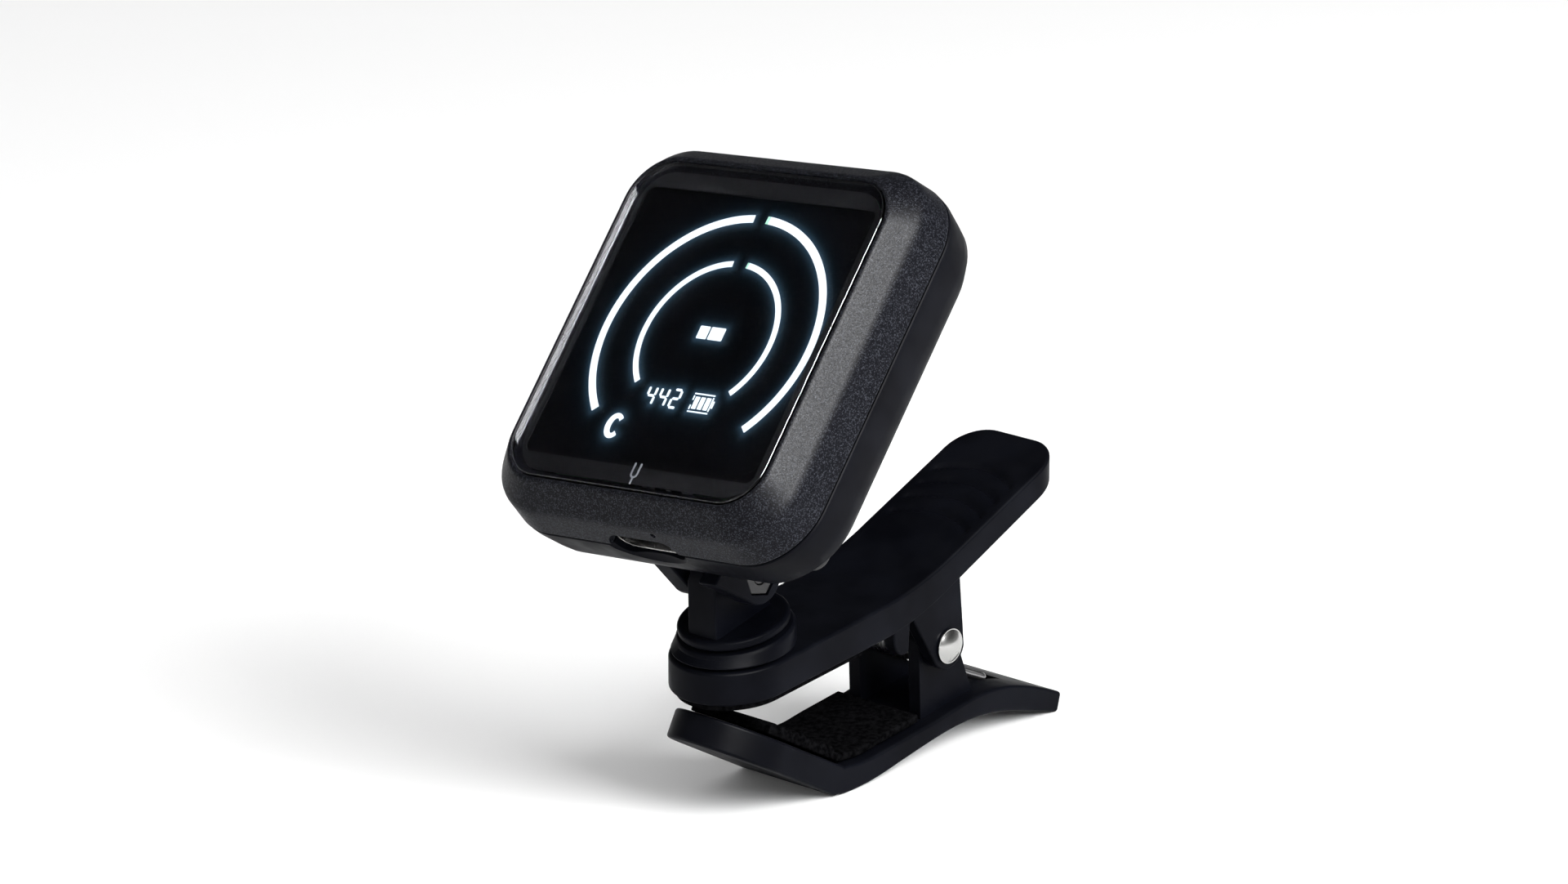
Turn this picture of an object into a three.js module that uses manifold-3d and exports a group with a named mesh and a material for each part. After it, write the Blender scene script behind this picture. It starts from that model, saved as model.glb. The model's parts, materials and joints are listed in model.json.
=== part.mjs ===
// Clip-on instrument tuner: a tilting, swivelling display head on a spring clamp.
// Millimetres, +Z up. The display faces -Y, the thumb tails point to +Y and +X is the viewer's right.
// The clamp is drawn first around the line where its lower lever touches the table, and the finished
// model is then moved so that the origin is the bottom centre of its bounding box.

import * as THREE from "three";
import { mergeVertices } from "three/addons/utils/BufferGeometryUtils.js";
import Module from "manifold-3d";

const wasm = await Module();
wasm.setup();

// ---------------------------------------------------------------- driving dimensions

const GAP = 0.3; // between pieces that rest on each other
const SLIP = 0.15; // round a pin or a button
const ROUND = 32; // sides of a round piece
const CORNER_STEPS = 6; // chords in one corner of a rounded rectangle

// head, measured from the front of its cover lens
const LENS = { x: 17.9, z: 19.25, r: 4.8, thick: 1.2 };
const CHAMFER = { x: 20.9, z: 22.3, r: 7, depth: 3.1 };
const PARTING = { x: 21.45, z: 22.85, r: 7.6, depth: 6.8 };
const HEAD_DEPTH = 14.4;
const WALL = 1.3;
const LENS_FROM_HINGE = { y: -19, z: 18.4 };
const HEAD_TILT = 42.4; // the display looks up by this angle
const HEAD_LEAN = 5.4; // sideways lean that the hinge's play allows

// hinge between the head and the swivel post
const EAR = { radius: 3.2, inner: 2.75, outer: 5.3, nutSideRoot: 4.4, headSideRoot: 2.6 };
const TONGUE_HALF = 2;
const SCREW_RADIUS = 1;
const NUT = { flats: 4, thick: 1.6 };
const HINGE_HEAD = { radius: 1.85, sunk: 0.3, thick: 1 };
const WASHER = { inner: 2.25, outer: 2.5, radius: 2.4 };
const SLOT = { half: 0.25, deep: 0.5 }; // driver slot of the hinge and swivel screws

// swivel
const SWIVEL_LEAN = 13.6; // forward lean of the swivel axis
const SWIVEL_CENTRE = { y: -9.35, z: 20.33 };
const HINGE_HEIGHT = 6.5; // above the swivel centre, along the swivel axis
const DISC = { radius: 6.1, top: 0.9, bottom: -0.15 };
const COLLAR = { top: 6.5, foot: 6.7, upper: -0.45, sides: 48 };

// clamp, in side view around the line where the lower lever touches the table
const HALF_WIDTH = 6.95;
const PIVOT = { y: 17.45, z: 12.5 };
const PIN_RADIUS = 1.1;
const LEG_SLOPE = 29; // rise of the lower jaw towards its tip
const LEG = { thick: 3.3, reach: 11.1, startY: -0.7 };
const NOSE_Y = -9.45; // centre of the upper lever's round nose
const TAIL = { y: 36.8, corner: 4.2 }; // end of the upper lever
const PAD = { recess: 0.7, proud: 0.8, endY: 4, inset: 0.7 }; // under the upper lever's nose

// ---------------------------------------------------------------- materials

function material(color, roughness, metalness = 0) {
  return new THREE.MeshStandardMaterial({ color, roughness, metalness });
}

const satinBlack = material(0x15171d, 0.5);
const sparkleBlack = material(0x1b1d24, 0.42, 0.3);
const glossBlack = material(0x050506, 0.06);
const rubberBlack = material(0x0d0e10, 0.85);
const steel = material(0xb9b9b7, 0.25, 1);
const darkSteel = material(0x3a3b3e, 0.35, 0.9);
const brass = material(0xb08d4a, 0.35, 1);
const boardGreen = material(0x14502d, 0.5);
const chipBlack = material(0x16161a, 0.45);
const cellSilver = material(0xa9adb3, 0.4, 0.6);
const foamGrey = material(0x44474b, 0.9);
const lightGuide = material(0xe6e8ea, 0.4);
const nylon = material(0x1c1c1f, 0.6);

// ---------------------------------------------------------------- solids

const radians = THREE.MathUtils.degToRad;
const vector = (x, y, z) => new THREE.Vector3(x, y, z);

function solidOf(geometry) {
  const bare = geometry.clone();
  bare.deleteAttribute("normal");
  bare.deleteAttribute("uv");
  const merged = outward(mergeVertices(bare, 1e-5));
  const vertProperties = Float32Array.from(merged.attributes.position.array);
  const triVerts = Uint32Array.from(merged.index.array);
  return new wasm.Manifold(new wasm.Mesh({ numProp: 3, vertProperties, triVerts }));
}

function geometryOf(solid) {
  const { vertProperties, triVerts } = solid.getMesh();
  const geometry = new THREE.BufferGeometry();
  geometry.setAttribute("position", new THREE.BufferAttribute(vertProperties, 3));
  geometry.setIndex(new THREE.BufferAttribute(triVerts, 1));
  geometry.computeVertexNormals();
  return geometry;
}

const join = (first, ...others) => others.reduce((sum, other) => sum.add(other), first);
const cut = (first, ...tools) => tools.reduce((rest, tool) => rest.subtract(tool), first);

function box(x, y, z) {
  const geometry = new THREE.BoxGeometry(x[1] - x[0], y[1] - y[0], z[1] - z[0]);
  geometry.translate((x[0] + x[1]) / 2, (y[0] + y[1]) / 2, (z[0] + z[1]) / 2);
  return solidOf(geometry);
}

// Round bar between two points on an axis through (a, b); axis is "x", "y" or "z".
function bar(axis, radius, from, to, [a, b] = [0, 0], sides = ROUND) {
  const geometry = new THREE.CylinderGeometry(radius, radius, to - from, sides);
  const middle = (from + to) / 2;
  if (axis === "x") geometry.rotateZ(-Math.PI / 2).translate(middle, a, b);
  if (axis === "y") geometry.translate(a, middle, b);
  if (axis === "z") geometry.rotateX(Math.PI / 2).translate(a, b, middle);
  return solidOf(geometry);
}

// Turned piece about the Z axis from [radius, height] points that start and end on the axis or close.
function turned(profile) {
  const points = profile.map(([radius, height]) => new THREE.Vector2(radius, height));
  const geometry = new THREE.LatheGeometry(points, ROUND);
  geometry.rotateX(Math.PI / 2);
  return solidOf(geometry);
}

// Turns the faces of an inside-out mesh round.
function outward(geometry) {
  const { position } = geometry.attributes;
  const index = geometry.index.array;
  const corner = [vector(), vector(), vector()];
  let volume = 0;
  for (let i = 0; i < index.length; i += 3) {
    corner.forEach((point, k) => point.fromBufferAttribute(position, index[i + k]));
    volume += corner[0].dot(corner[1].cross(corner[2]));
  }
  if (volume < 0) {
    for (let i = 0; i < index.length; i += 3) [index[i], index[i + 1]] = [index[i + 1], index[i]];
  }
  return geometry;
}

function extruded(outline, depth, curveSegments) {
  return new THREE.ExtrudeGeometry(outline, { depth, curveSegments, bevelEnabled: false });
}

// Slab with an outline in the XZ plane, from one depth y to another.
function slab(outline, from, to) {
  const geometry = extruded(outline, to - from, 10);
  geometry.rotateX(Math.PI / 2).translate(0, to, 0);
  return solidOf(geometry);
}

// Wall with an outline in the YZ plane, from one x to another.
function wall(outline, from, to) {
  const geometry = extruded(outline, to - from, 12);
  geometry.applyMatrix4(new THREE.Matrix4().makeBasis(vector(0, 1, 0), vector(0, 0, 1), vector(1, 0, 0)));
  geometry.translate(from, 0, 0);
  return solidOf(geometry);
}

// Plate with an outline in the XY plane, from one z to another.
function plate(outline, from, to) {
  const geometry = extruded(outline, to - from, 16);
  geometry.translate(0, 0, from);
  return solidOf(geometry);
}

function outlineOf(points) {
  const shape = new THREE.Shape();
  points.forEach(([a, b], i) => (i ? shape.lineTo(a, b) : shape.moveTo(a, b)));
  return shape;
}

const QUARTERS = [[1, 1], [-1, 1], [-1, -1], [1, -1]];

// Points of a rounded rectangle with half sizes x and z, counter-clockwise.
function roundedPoints({ x, z, r }) {
  return QUARTERS.flatMap(([sx, sz], corner) =>
    Array.from({ length: CORNER_STEPS + 1 }, (_, step) => {
      const angle = ((corner + step / CORNER_STEPS) * Math.PI) / 2;
      return [sx * (x - r) + r * Math.cos(angle), sz * (z - r) + r * Math.sin(angle)];
    }),
  );
}

const roundedOutline = (size) => outlineOf(roundedPoints(size));
const shrink = ({ x, z, r }, by) => ({ x: x - by, z: z - by, r: Math.max(r - by, 0.4) });

function middleOf(ring) {
  const average = (axis) => ring.reduce((sum, point) => sum + point[axis], 0) / ring.length;
  return [0, 1, 2].map(average);
}

// Skin through rings of points with the same count. A closed stack joins its last ring to its first,
// and otherwise both ends are capped from their middle.
function skin(rings, closed = false) {
  const count = rings[0].length;
  const positions = rings.flat(2);
  const indices = [];
  const bands = closed ? rings.length : rings.length - 1;
  for (let band = 0; band < bands; band++) {
    const a = band * count;
    const b = ((band + 1) % rings.length) * count;
    for (let i = 0; i < count; i++) {
      const j = (i + 1) % count;
      indices.push(a + i, a + j, b + j, a + i, b + j, b + i);
    }
  }
  if (!closed) {
    for (const [ring, flipped] of [[0, 1], [rings.length - 1, 0]]) {
      const start = ring * count;
      const centre = positions.length / 3;
      positions.push(...middleOf(rings[ring]));
      for (let i = 0; i < count; i++) {
        const edge = [start + i, start + ((i + 1) % count)];
        indices.push(edge[flipped], edge[1 - flipped], centre);
      }
    }
  }
  const geometry = new THREE.BufferGeometry();
  geometry.setAttribute("position", new THREE.Float32BufferAttribute(positions, 3));
  geometry.setIndex(indices);
  return solidOf(geometry);
}

// Skin through rounded rectangles at rising or falling depths.
function loft(sections, closed = false) {
  return skin(sections.map((section) => roundedPoints(section).map(([x, z]) => [x, section.y, z])), closed);
}

function turnAndMove(solid, { turnX = 0, y = 0, z = 0 }) {
  return solid.rotate([turnX, 0, 0]).translate([0, y, z]);
}

function mesh(name, solid, look) {
  const piece = new THREE.Mesh(geometryOf(solid), look);
  piece.name = name;
  return piece;
}

// ---------------------------------------------------------------- head (y is depth behind the lens front)

const USB = { x: 0.5, depth: PARTING.depth, half: 4.47, thick: 3.2, length: 7.3 };
const BUTTONS = { z: 13.5, pitch: 9.5, radius: 3, travel: 0.6, proud: 0.5 };
const CASE_SCREW = { x: 16.3, z: 17.4, head: 1.6, shaft: 0.8, headDepth: 1.1, sunk: 0.15, tip: 4.3 };
const CROSS_SLOT = { long: 1.1, half: 0.2, deep: 0.45 };
const BOARD = { front: 5, thick: 1, x: 18.2, z: 19.6, r: 5 };
const BOARD_BACK = BOARD.front + BOARD.thick;
const ON_BOARD = BOARD_BACK + 0.2;
const SWITCH = { half: 2.2, top: ON_BOARD + 2.4, plunger: 1.2 };
const PIN_HOLE = { x: 3.6, depth: 3.7, radius: 0.35 };
const BOSS = { front: 1.7, rear: 2.2, sides: 16 };
const LCD = { x: 16.6, z: 16.6, r: 0.8, front: 1.55, back: 2.8 };
const BACKLIGHT = { x: 15.8, z: 15.2, r: 0.8, front: 3.1, back: 4.4 };
const CELL = { x: 10, z: 7, r: 1.2, front: BOARD_BACK + 1.6, thick: 3 };
const CELL_PAD = { x: 6, z: 4, r: 1, thick: 1.9 };
const CHIP = { x: [-13, -7], z: [-17, -11], thick: 1 };
const PIEZO = { radius: 5, thick: 0.6, place: [8.5, -13] };
const screwPlaces = QUARTERS.map(([sx, sz]) => [sx * CASE_SCREW.x, sz * CASE_SCREW.z]);
const buttonPlaces = { up: -BUTTONS.pitch, power: 0, down: BUTTONS.pitch };

function frontBezel() {
  const lip = 0.35;
  const window = shrink(LENS, -0.15);
  const ledge = shrink(LENS, 0.9);
  const inside = shrink(CHAMFER, WALL + 0.2);
  const rim = loft([
    { ...shrink(LENS, -0.4), y: 0.1 },
    { ...shrink(LENS, -0.8), y: lip },
    { ...CHAMFER, y: CHAMFER.depth - 0.3 },
    { ...shrink(CHAMFER, -0.12), y: CHAMFER.depth + 0.3 },
    { ...PARTING, y: PARTING.depth - 0.1 },
    { ...shrink(PARTING, WALL), y: PARTING.depth - 0.1 },
    { ...inside, y: CHAMFER.depth + 0.4 },
    { ...ledge, y: LENS.thick + 1.1 },
    { ...ledge, y: LENS.thick + GAP },
    { ...window, y: LENS.thick + GAP },
    { ...window, y: 0.1 },
  ], true);
  const { front, sides } = BOSS;
  const pilot = CASE_SCREW.shaft + SLIP;
  const posts = screwPlaces.map((place) => bar("y", front, CHAMFER.depth, PARTING.depth + 1.2, place, sides));
  const pilots = screwPlaces.map((place) => bar("y", pilot, 4, PARTING.depth + 2, place, sides));
  const pinHole = bar("z", PIN_HOLE.radius, -CHAMFER.z - 1, -CHAMFER.z + 3, [PIN_HOLE.x, PIN_HOLE.depth], 12);
  return cut(join(rim, ...posts), ...pilots, pinHole, usbOpening(SLIP + 0.25));
}

function usbOutline(grow) {
  const half = USB.half + grow;
  const r = USB.thick / 2 + grow - 0.05;
  const points = roundedPoints({ x: half, z: USB.thick / 2 + grow, r });
  return outlineOf(points.map(([x, z]) => [x + USB.x, z + USB.depth]));
}

const usbOpening = (grow) => plate(usbOutline(grow), -PARTING.z - 1, -PARTING.z + USB.length + 2);

function coverLens() {
  const edge = 0.2;
  return loft([
    { ...shrink(LENS, edge), y: 0 },
    { ...LENS, y: edge },
    { ...LENS, y: LENS.thick },
  ]);
}

// Board with a notch round each screw boss and one for the socket.
function circuitBoard() {
  const { rear, sides } = BOSS;
  const through = [BOARD.front - 1, BOARD_BACK + 1];
  const notches = screwPlaces.map((place) => bar("y", rear, ...through, place, sides));
  const socketHalf = USB.half + 0.63;
  const socket = box([USB.x - socketHalf, USB.x + socketHalf], through, [-30, -14.2]);
  return cut(slab(roundedOutline(BOARD), BOARD.front, BOARD_BACK), ...notches, socket);
}

// The socket's mouth and its floor, as heights in the head.
const SOCKET = { mouth: -PARTING.z + 0.9, floor: -PARTING.z + 0.1 + USB.length, sheet: 0.3 };

function usbShell() {
  const tube = plate(usbOutline(0), SOCKET.mouth, SOCKET.mouth + USB.length);
  const inside = plate(usbOutline(-SOCKET.sheet), SOCKET.mouth - 1, SOCKET.floor);
  return cut(tube, inside);
}

function usbTongue() {
  const tongue = { half: 3.3, thick: 0.35, setBack: 0.7 };
  return box(
    [USB.x - tongue.half, USB.x + tongue.half],
    [USB.depth - tongue.thick, USB.depth + tongue.thick],
    [SOCKET.mouth + tongue.setBack, SOCKET.floor - GAP],
  );
}

const hinge = { y: -LENS_FROM_HINGE.y, z: -LENS_FROM_HINGE.z };

// The ears grow from the back of the shell, so their axis is where the head hinges.
function hingeEar(side) {
  const [from, to] = side > 0 ? [EAR.inner, EAR.outer] : [-EAR.outer, -EAR.inner];
  const rootDrop = side > 0 ? EAR.nutSideRoot : EAR.headSideRoot;
  const round = bar("x", EAR.radius, from, to, [hinge.y, hinge.z]);
  const root = wall(outlineOf([
    [HEAD_DEPTH - 1.2, hinge.z - rootDrop],
    [hinge.y, hinge.z - EAR.radius],
    [hinge.y, hinge.z + EAR.radius],
    [HEAD_DEPTH - 1.2, hinge.z + 7.5],
  ]), from, to);
  return join(round, root);
}

function rearShell() {
  const front = PARTING.depth + 0.1;
  const floor = HEAD_DEPTH - WALL;
  const cup = loft([
    { x: 0.6, z: 0.6, r: 0.3, y: HEAD_DEPTH },
    { x: 17.4, z: 18.8, r: 6, y: HEAD_DEPTH },
    { x: 19.4, z: 20.8, r: 7, y: HEAD_DEPTH - 0.7 },
    { x: 20.7, z: 22.1, r: 7.4, y: HEAD_DEPTH - 2.6 },
    { ...PARTING, y: front },
    { ...shrink(PARTING, WALL), y: front },
    { x: 19.3, z: 20.7, r: 6.2, y: HEAD_DEPTH - 3 },
    { x: 17.6, z: 19, r: 5.4, y: floor },
    { x: 0.6, z: 0.6, r: 0.3, y: floor },
  ]);
  const { rear, sides } = BOSS;
  const bosses = screwPlaces.map((place) => bar("y", rear, PARTING.depth + 1.5, floor + 0.3, place, sides));
  const whole = join(cup, ...bosses, hingeEar(1), hingeEar(-1));
  return cut(whole, ...screwWays(), ...buttonWays(), ...hingeWays(), usbOpening(SLIP + 0.25), usbScoop());
}

function screwWays() {
  const { shaft, head, headDepth } = CASE_SCREW;
  const end = HEAD_DEPTH + 1;
  return screwPlaces.flatMap((place) => [
    bar("y", shaft + SLIP, PARTING.depth, end, place, BOSS.sides),
    bar("y", head + SLIP, HEAD_DEPTH - headDepth - 0.2, end, place, BOSS.sides),
  ]);
}

function buttonWays() {
  const start = HEAD_DEPTH - WALL - 1;
  return Object.values(buttonPlaces).map((x) =>
    bar("y", BUTTONS.radius + SLIP, start, HEAD_DEPTH + 1, [x, BUTTONS.z]),
  );
}

// Room in the ears for the screw's shaft, its head and the nut.
function hingeWays() {
  const at = [hinge.y, hinge.z];
  const end = EAR.outer + 1;
  return [
    bar("x", SCREW_RADIUS + SLIP, -end, end, at, 20),
    bar("x", HINGE_HEAD.radius + 0.25, -end, -EAR.outer + 1.5, at, 24),
    hexagon(NUT.flats + 0.3, EAR.outer - NUT.thick, end, hinge),
  ];
}

// Thumb-shaped dip in the bottom wall, behind the parting line, that leads a plug to the socket.
function usbScoop() {
  const bowl = new THREE.SphereGeometry(1, 32, 16);
  bowl.scale(5.6, 3.4, 1.3).translate(USB.x, PARTING.depth, -PARTING.z - 0.25);
  return solidOf(bowl);
}

function hexagon(flats, from, to, { y, z }) {
  const radius = flats / Math.sqrt(3);
  const corners = Array.from({ length: 6 }, (_, i) => {
    const angle = ((i + 0.5) * Math.PI) / 3;
    return [y + radius * Math.cos(angle), z + radius * Math.sin(angle)];
  });
  return wall(outlineOf(corners), from, to);
}

// Round cap with a flange that stops it from leaving the shell, and a stem down to its switch.
function button(x) {
  const floor = HEAD_DEPTH - WALL;
  const stemEnd = SWITCH.top + BUTTONS.travel + GAP;
  const at = [x, BUTTONS.z];
  return join(
    bar("y", BUTTONS.radius, floor - GAP - 0.1, HEAD_DEPTH + BUTTONS.proud, at),
    bar("y", BUTTONS.radius + 0.6, floor - GAP - 0.8, floor - GAP, at),
    bar("y", 1.1, stemEnd, floor - GAP - 0.4, at, 16),
  );
}

function tactSwitch(x) {
  const { half, top, plunger } = SWITCH;
  const body = box([x - half, x + half], [ON_BOARD, top - 0.5], [BUTTONS.z - half, BUTTONS.z + half]);
  return join(body, bar("y", plunger, top - 0.8, top, [x, BUTTONS.z], 16));
}

function caseScrew([x, z]) {
  const { sunk, headDepth, tip } = CASE_SCREW;
  const { long, half, deep } = CROSS_SLOT;
  const top = HEAD_DEPTH - sunk;
  const head = bar("y", CASE_SCREW.head, top - headDepth + 0.2, top, [x, z], 16);
  const shaft = bar("y", CASE_SCREW.shaft, tip, top - 0.5, [x, z], 12);
  const slots = [[long, half], [half, long]].map(([a, b]) =>
    box([x - a, x + a], [top - deep, top + 1], [z - b, z + b]),
  );
  return cut(join(head, shaft), ...slots);
}

const slabOf = (size, from, to) => slab(roundedOutline(size), from, to);

// Display, board, cell and sensors, from the lens to the shell's back wall.
function innerPieces() {
  const wall = HEAD_DEPTH - WALL;
  const cellBack = CELL.front + CELL.thick;
  const padFront = cellBack + GAP;
  const micWay = [PIN_HOLE.x, PIN_HOLE.depth];
  return [
    mesh("lcd_panel", slabOf(LCD, LCD.front, LCD.back), glossBlack),
    mesh("backlight_plate", slabOf(BACKLIGHT, BACKLIGHT.front, BACKLIGHT.back), lightGuide),
    mesh("circuit_board", circuitBoard(), boardGreen),
    mesh("main_chip", box(CHIP.x, [ON_BOARD, ON_BOARD + CHIP.thick], CHIP.z), chipBlack),
    mesh("battery_cell", slabOf(CELL, CELL.front, cellBack), cellSilver),
    mesh("battery_pad", slabOf(CELL_PAD, padFront, padFront + CELL_PAD.thick), foamGrey),
    mesh("piezo_sensor", bar("y", PIEZO.radius, wall - GAP - PIEZO.thick, wall - GAP, PIEZO.place), brass),
    mesh("usb_c_shell", usbShell(), steel),
    mesh("usb_c_tongue", usbTongue(), chipBlack),
    mesh("microphone", bar("z", 0.9, -19.1, -17.6, micWay, 20), steel),
  ];
}

function headPieces() {
  const keys = Object.entries(buttonPlaces).flatMap(([name, x]) => [
    mesh(`${name}_button`, button(x), rubberBlack),
    mesh(`${name}_switch`, tactSwitch(x), chipBlack),
  ]);
  return [
    mesh("front_bezel", frontBezel(), sparkleBlack),
    mesh("cover_lens", coverLens(), glossBlack),
    ...innerPieces(),
    mesh("rear_shell", rearShell(), satinBlack),
    ...screwPlaces.map((place, i) => mesh(`case_screw_${i + 1}`, caseScrew(place), darkSteel)),
    ...keys,
  ];
}

// ---------------------------------------------------------------- hinge fasteners (origin on the hinge axis)

function hingeScrew() {
  const { radius, sunk, thick } = HINGE_HEAD;
  const face = -EAR.outer + sunk;
  const shaft = bar("x", SCREW_RADIUS, face + 0.1, EAR.outer - 0.2, [0, 0], 20);
  const head = bar("x", radius, face, face + thick, [0, 0], 24);
  const slot = box([face - 1, face + SLOT.deep], [-3, 3], [-SLOT.half, SLOT.half]);
  return cut(join(shaft, head), slot);
}

function hingeNut() {
  const body = hexagon(NUT.flats, EAR.outer - NUT.thick + SLIP, EAR.outer - SLIP, { y: 0, z: 0 });
  return cut(body, bar("x", SCREW_RADIUS + 0.1, 0, EAR.outer + 1, [0, 0], 20));
}

function hingeWasher(side) {
  const [from, to] = side > 0 ? [WASHER.inner, WASHER.outer] : [-WASHER.outer, -WASHER.inner];
  const hole = bar("x", SCREW_RADIUS + 0.1, from - 1, to + 1, [0, 0], 20);
  return cut(bar("x", WASHER.radius, from, to), hole);
}

const hingePieces = () => [
  mesh("hinge_screw", hingeScrew(), darkSteel),
  mesh("hinge_nut", hingeNut(), darkSteel),
  mesh("hinge_washer_right", hingeWasher(1), nylon),
  mesh("hinge_washer_left", hingeWasher(-1), nylon),
];

// ---------------------------------------------------------------- swivel (origin at the disc, Z on its axis)

const SHAFT = { radius: 2.3, end: -3.4, thread: 0.95 };
const SWIVEL_SCREW = { head: 2, shaft: 0.8, face: SHAFT.end - 1.45, seat: SHAFT.end - 0.75 };
const swivelPlace = { turnX: SWIVEL_LEAN, ...SWIVEL_CENTRE };

// Disc with a tapering tongue above it for the hinge and a shaft below it that turns in the collar.
function swivelPost() {
  const { radius, top, bottom } = DISC;
  const disc = turned([
    [0, SHAFT.end], [SHAFT.radius, SHAFT.end], [SHAFT.radius, bottom], [radius - 0.5, bottom],
    [radius, bottom + 0.35], [radius, top - 0.45], [radius - 0.45, top], [0, top],
  ]);
  const tongue = wall(outlineOf([
    [-5.1, top - 0.4], [3.9, top - 0.4], [3.1, HINGE_HEIGHT], [-3.75, HINGE_HEIGHT],
  ]), -TONGUE_HALF, TONGUE_HALF);
  const crown = bar("x", 3.1, -TONGUE_HALF, TONGUE_HALF, [0, HINGE_HEIGHT]);
  const eye = bar("x", SCREW_RADIUS + 0.35, -3, 3, [0, HINGE_HEIGHT], 24);
  const thread = bar("z", SHAFT.thread, SHAFT.end - 1, SHAFT.end + 3.2, [0, 0], 16);
  return cut(join(disc, tongue, crown), eye, thread);
}

function swivelScrew() {
  const { face, seat } = SWIVEL_SCREW;
  const head = bar("z", SWIVEL_SCREW.head, face, seat, [0, 0], 24);
  const shaft = bar("z", SWIVEL_SCREW.shaft, SHAFT.end - 1, SHAFT.end + 2.8, [0, 0], 16);
  const slot = box([-3, 3], [-SLOT.half, SLOT.half], [face - 1, face + SLOT.deep / 2]);
  return cut(join(head, shaft), slot);
}

function swivelWasher() {
  const ring = bar("z", 3, SHAFT.end - 0.5, SHAFT.end - SLIP);
  return cut(ring, bar("z", SHAFT.thread, SHAFT.end - 2, SHAFT.end + 1, [0, 0], 20));
}

// ---------------------------------------------------------------- clamp

// heights of the top and the underside of the upper lever's straight front part
const topHeight = (y) => 18.78 + y * 0.122;
const underHeight = (y) => 14.94 + y * 0.11;

// Side view of the upper lever without its side ears: a flat front, a bend and a rising tail.
function leverOutline() {
  const shape = new THREE.Shape();
  shape.moveTo(-18, underHeight(-18));
  shape.lineTo(6, underHeight(6));
  shape.quadraticCurveTo(12, 16.2, 18, 19.1);
  shape.lineTo(TAIL.y + 1, 27.9);
  shape.lineTo(TAIL.y + 1, 31);
  shape.lineTo(18, 22.6);
  shape.quadraticCurveTo(12, 20.1, 6, topHeight(6));
  shape.lineTo(-18, topHeight(-18));
  return shape;
}

// Seen from above: a half-round nose, straight sides and a tail with round corners.
function leverPlan() {
  const cornerX = HALF_WIDTH - TAIL.corner;
  const cornerY = TAIL.y - TAIL.corner;
  const shape = new THREE.Shape();
  shape.absarc(0, NOSE_Y, HALF_WIDTH, Math.PI, 2 * Math.PI, false);
  shape.lineTo(HALF_WIDTH, cornerY);
  shape.absarc(cornerX, cornerY, TAIL.corner, 0, Math.PI / 2, false);
  shape.absarc(-cornerX, cornerY, TAIL.corner, Math.PI / 2, Math.PI, false);
  return shape;
}

// Side ear of the upper lever, with the small hooked tab in front of it.
function upperEar(side) {
  const { y, z } = PIVOT;
  const ear = new THREE.Shape();
  ear.moveTo(10.9, 17.6);
  ear.lineTo(y - 2.5, z - 1);
  ear.absarc(y, z, 2.7, Math.PI * 1.13, Math.PI * 1.93, false);
  ear.lineTo(19.9, 14.2);
  ear.lineTo(19.2, 21);
  ear.lineTo(12, 19);
  const tab = outlineOf([
    [8.4, 16.8], [8.5, 14.9], [9.2, 13.7], [10, 13.2], [10.8, 13.5], [11, 17.2],
  ]);
  const [from, to] = side > 0 ? [5.6, HALF_WIDTH] : [-HALF_WIDTH, -5.6];
  return join(wall(ear, from, to), wall(tab, from, to));
}

function upperLever() {
  const body = wall(leverOutline(), -HALF_WIDTH, HALF_WIDTH).intersect(plate(leverPlan(), 0, 40));
  const pocket = wall(outlineOf([[11, 10], [11, 17.2], [18, 20.4], [31, 25.9], [31, 10]]), -5.1, 5.1);
  const padBed = upperPadBlock(GAP);
  const eye = bar("x", PIN_RADIUS + SLIP, -9, 9, [PIVOT.y, PIVOT.z], 24);
  const shaftWay = turnAndMove(bar("z", SHAFT.radius + SLIP, -8, 2), swivelPlace);
  const screwWay = turnAndMove(bar("z", 3.3, -12, SHAFT.end - 0.05), swivelPlace);
  return cut(join(body, upperEar(1), upperEar(-1)), pocket, padBed, eye, shaftWay, screwWay);
}

// The upper jaw's pad, or with some growth the bed that it sits in.
function upperPadBlock(grow = 0) {
  const half = HALF_WIDTH - PAD.inset + grow;
  const shape = new THREE.Shape();
  shape.absarc(0, NOSE_Y, half, Math.PI, 2 * Math.PI, false);
  shape.lineTo(half, PAD.endY + grow);
  shape.lineTo(-half, PAD.endY + grow);
  const side = outlineOf([
    [-18, underHeight(-18) - PAD.proud],
    [PAD.endY + 1, underHeight(PAD.endY + 1) - PAD.proud],
    [PAD.endY + 1, underHeight(PAD.endY + 1) + PAD.recess + grow],
    [-18, underHeight(-18) + PAD.recess + grow],
  ]);
  return wall(side, -HALF_WIDTH, HALF_WIDTH).intersect(plate(shape, 0, 30));
}

// Frame of the lower jaw's front leg: origin where its underside starts, Y along the leg away from the tip.
const legPlace = { turnX: -LEG_SLOPE, y: LEG.startY, z: 0 };

function legPlan(inset, start) {
  const half = HALF_WIDTH - inset;
  const shape = new THREE.Shape();
  shape.absarc(0, -LEG.reach, half, Math.PI, 2 * Math.PI, false);
  shape.lineTo(half, start);
  shape.lineTo(-half, start);
  return shape;
}

function tailOutline() {
  const shape = new THREE.Shape();
  shape.moveTo(-0.9, 0.3);
  shape.quadraticCurveTo(-0.3, 0, 0.6, 0);
  shape.lineTo(1.8, 0);
  shape.quadraticCurveTo(5, 0.1, 9, 1);
  shape.bezierCurveTo(17, 2.6, 22, 4, 30, 1.6);
  shape.lineTo(35.6, 0);
  shape.lineTo(36.2, 0);
  shape.lineTo(36.8, 2.1);
  shape.bezierCurveTo(27, 6.4, 24, 5.9, 16, 4.4);
  shape.lineTo(6, 3.1);
  shape.quadraticCurveTo(3, 2.6, 0.4, 3.3);
  return shape;
}

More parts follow.
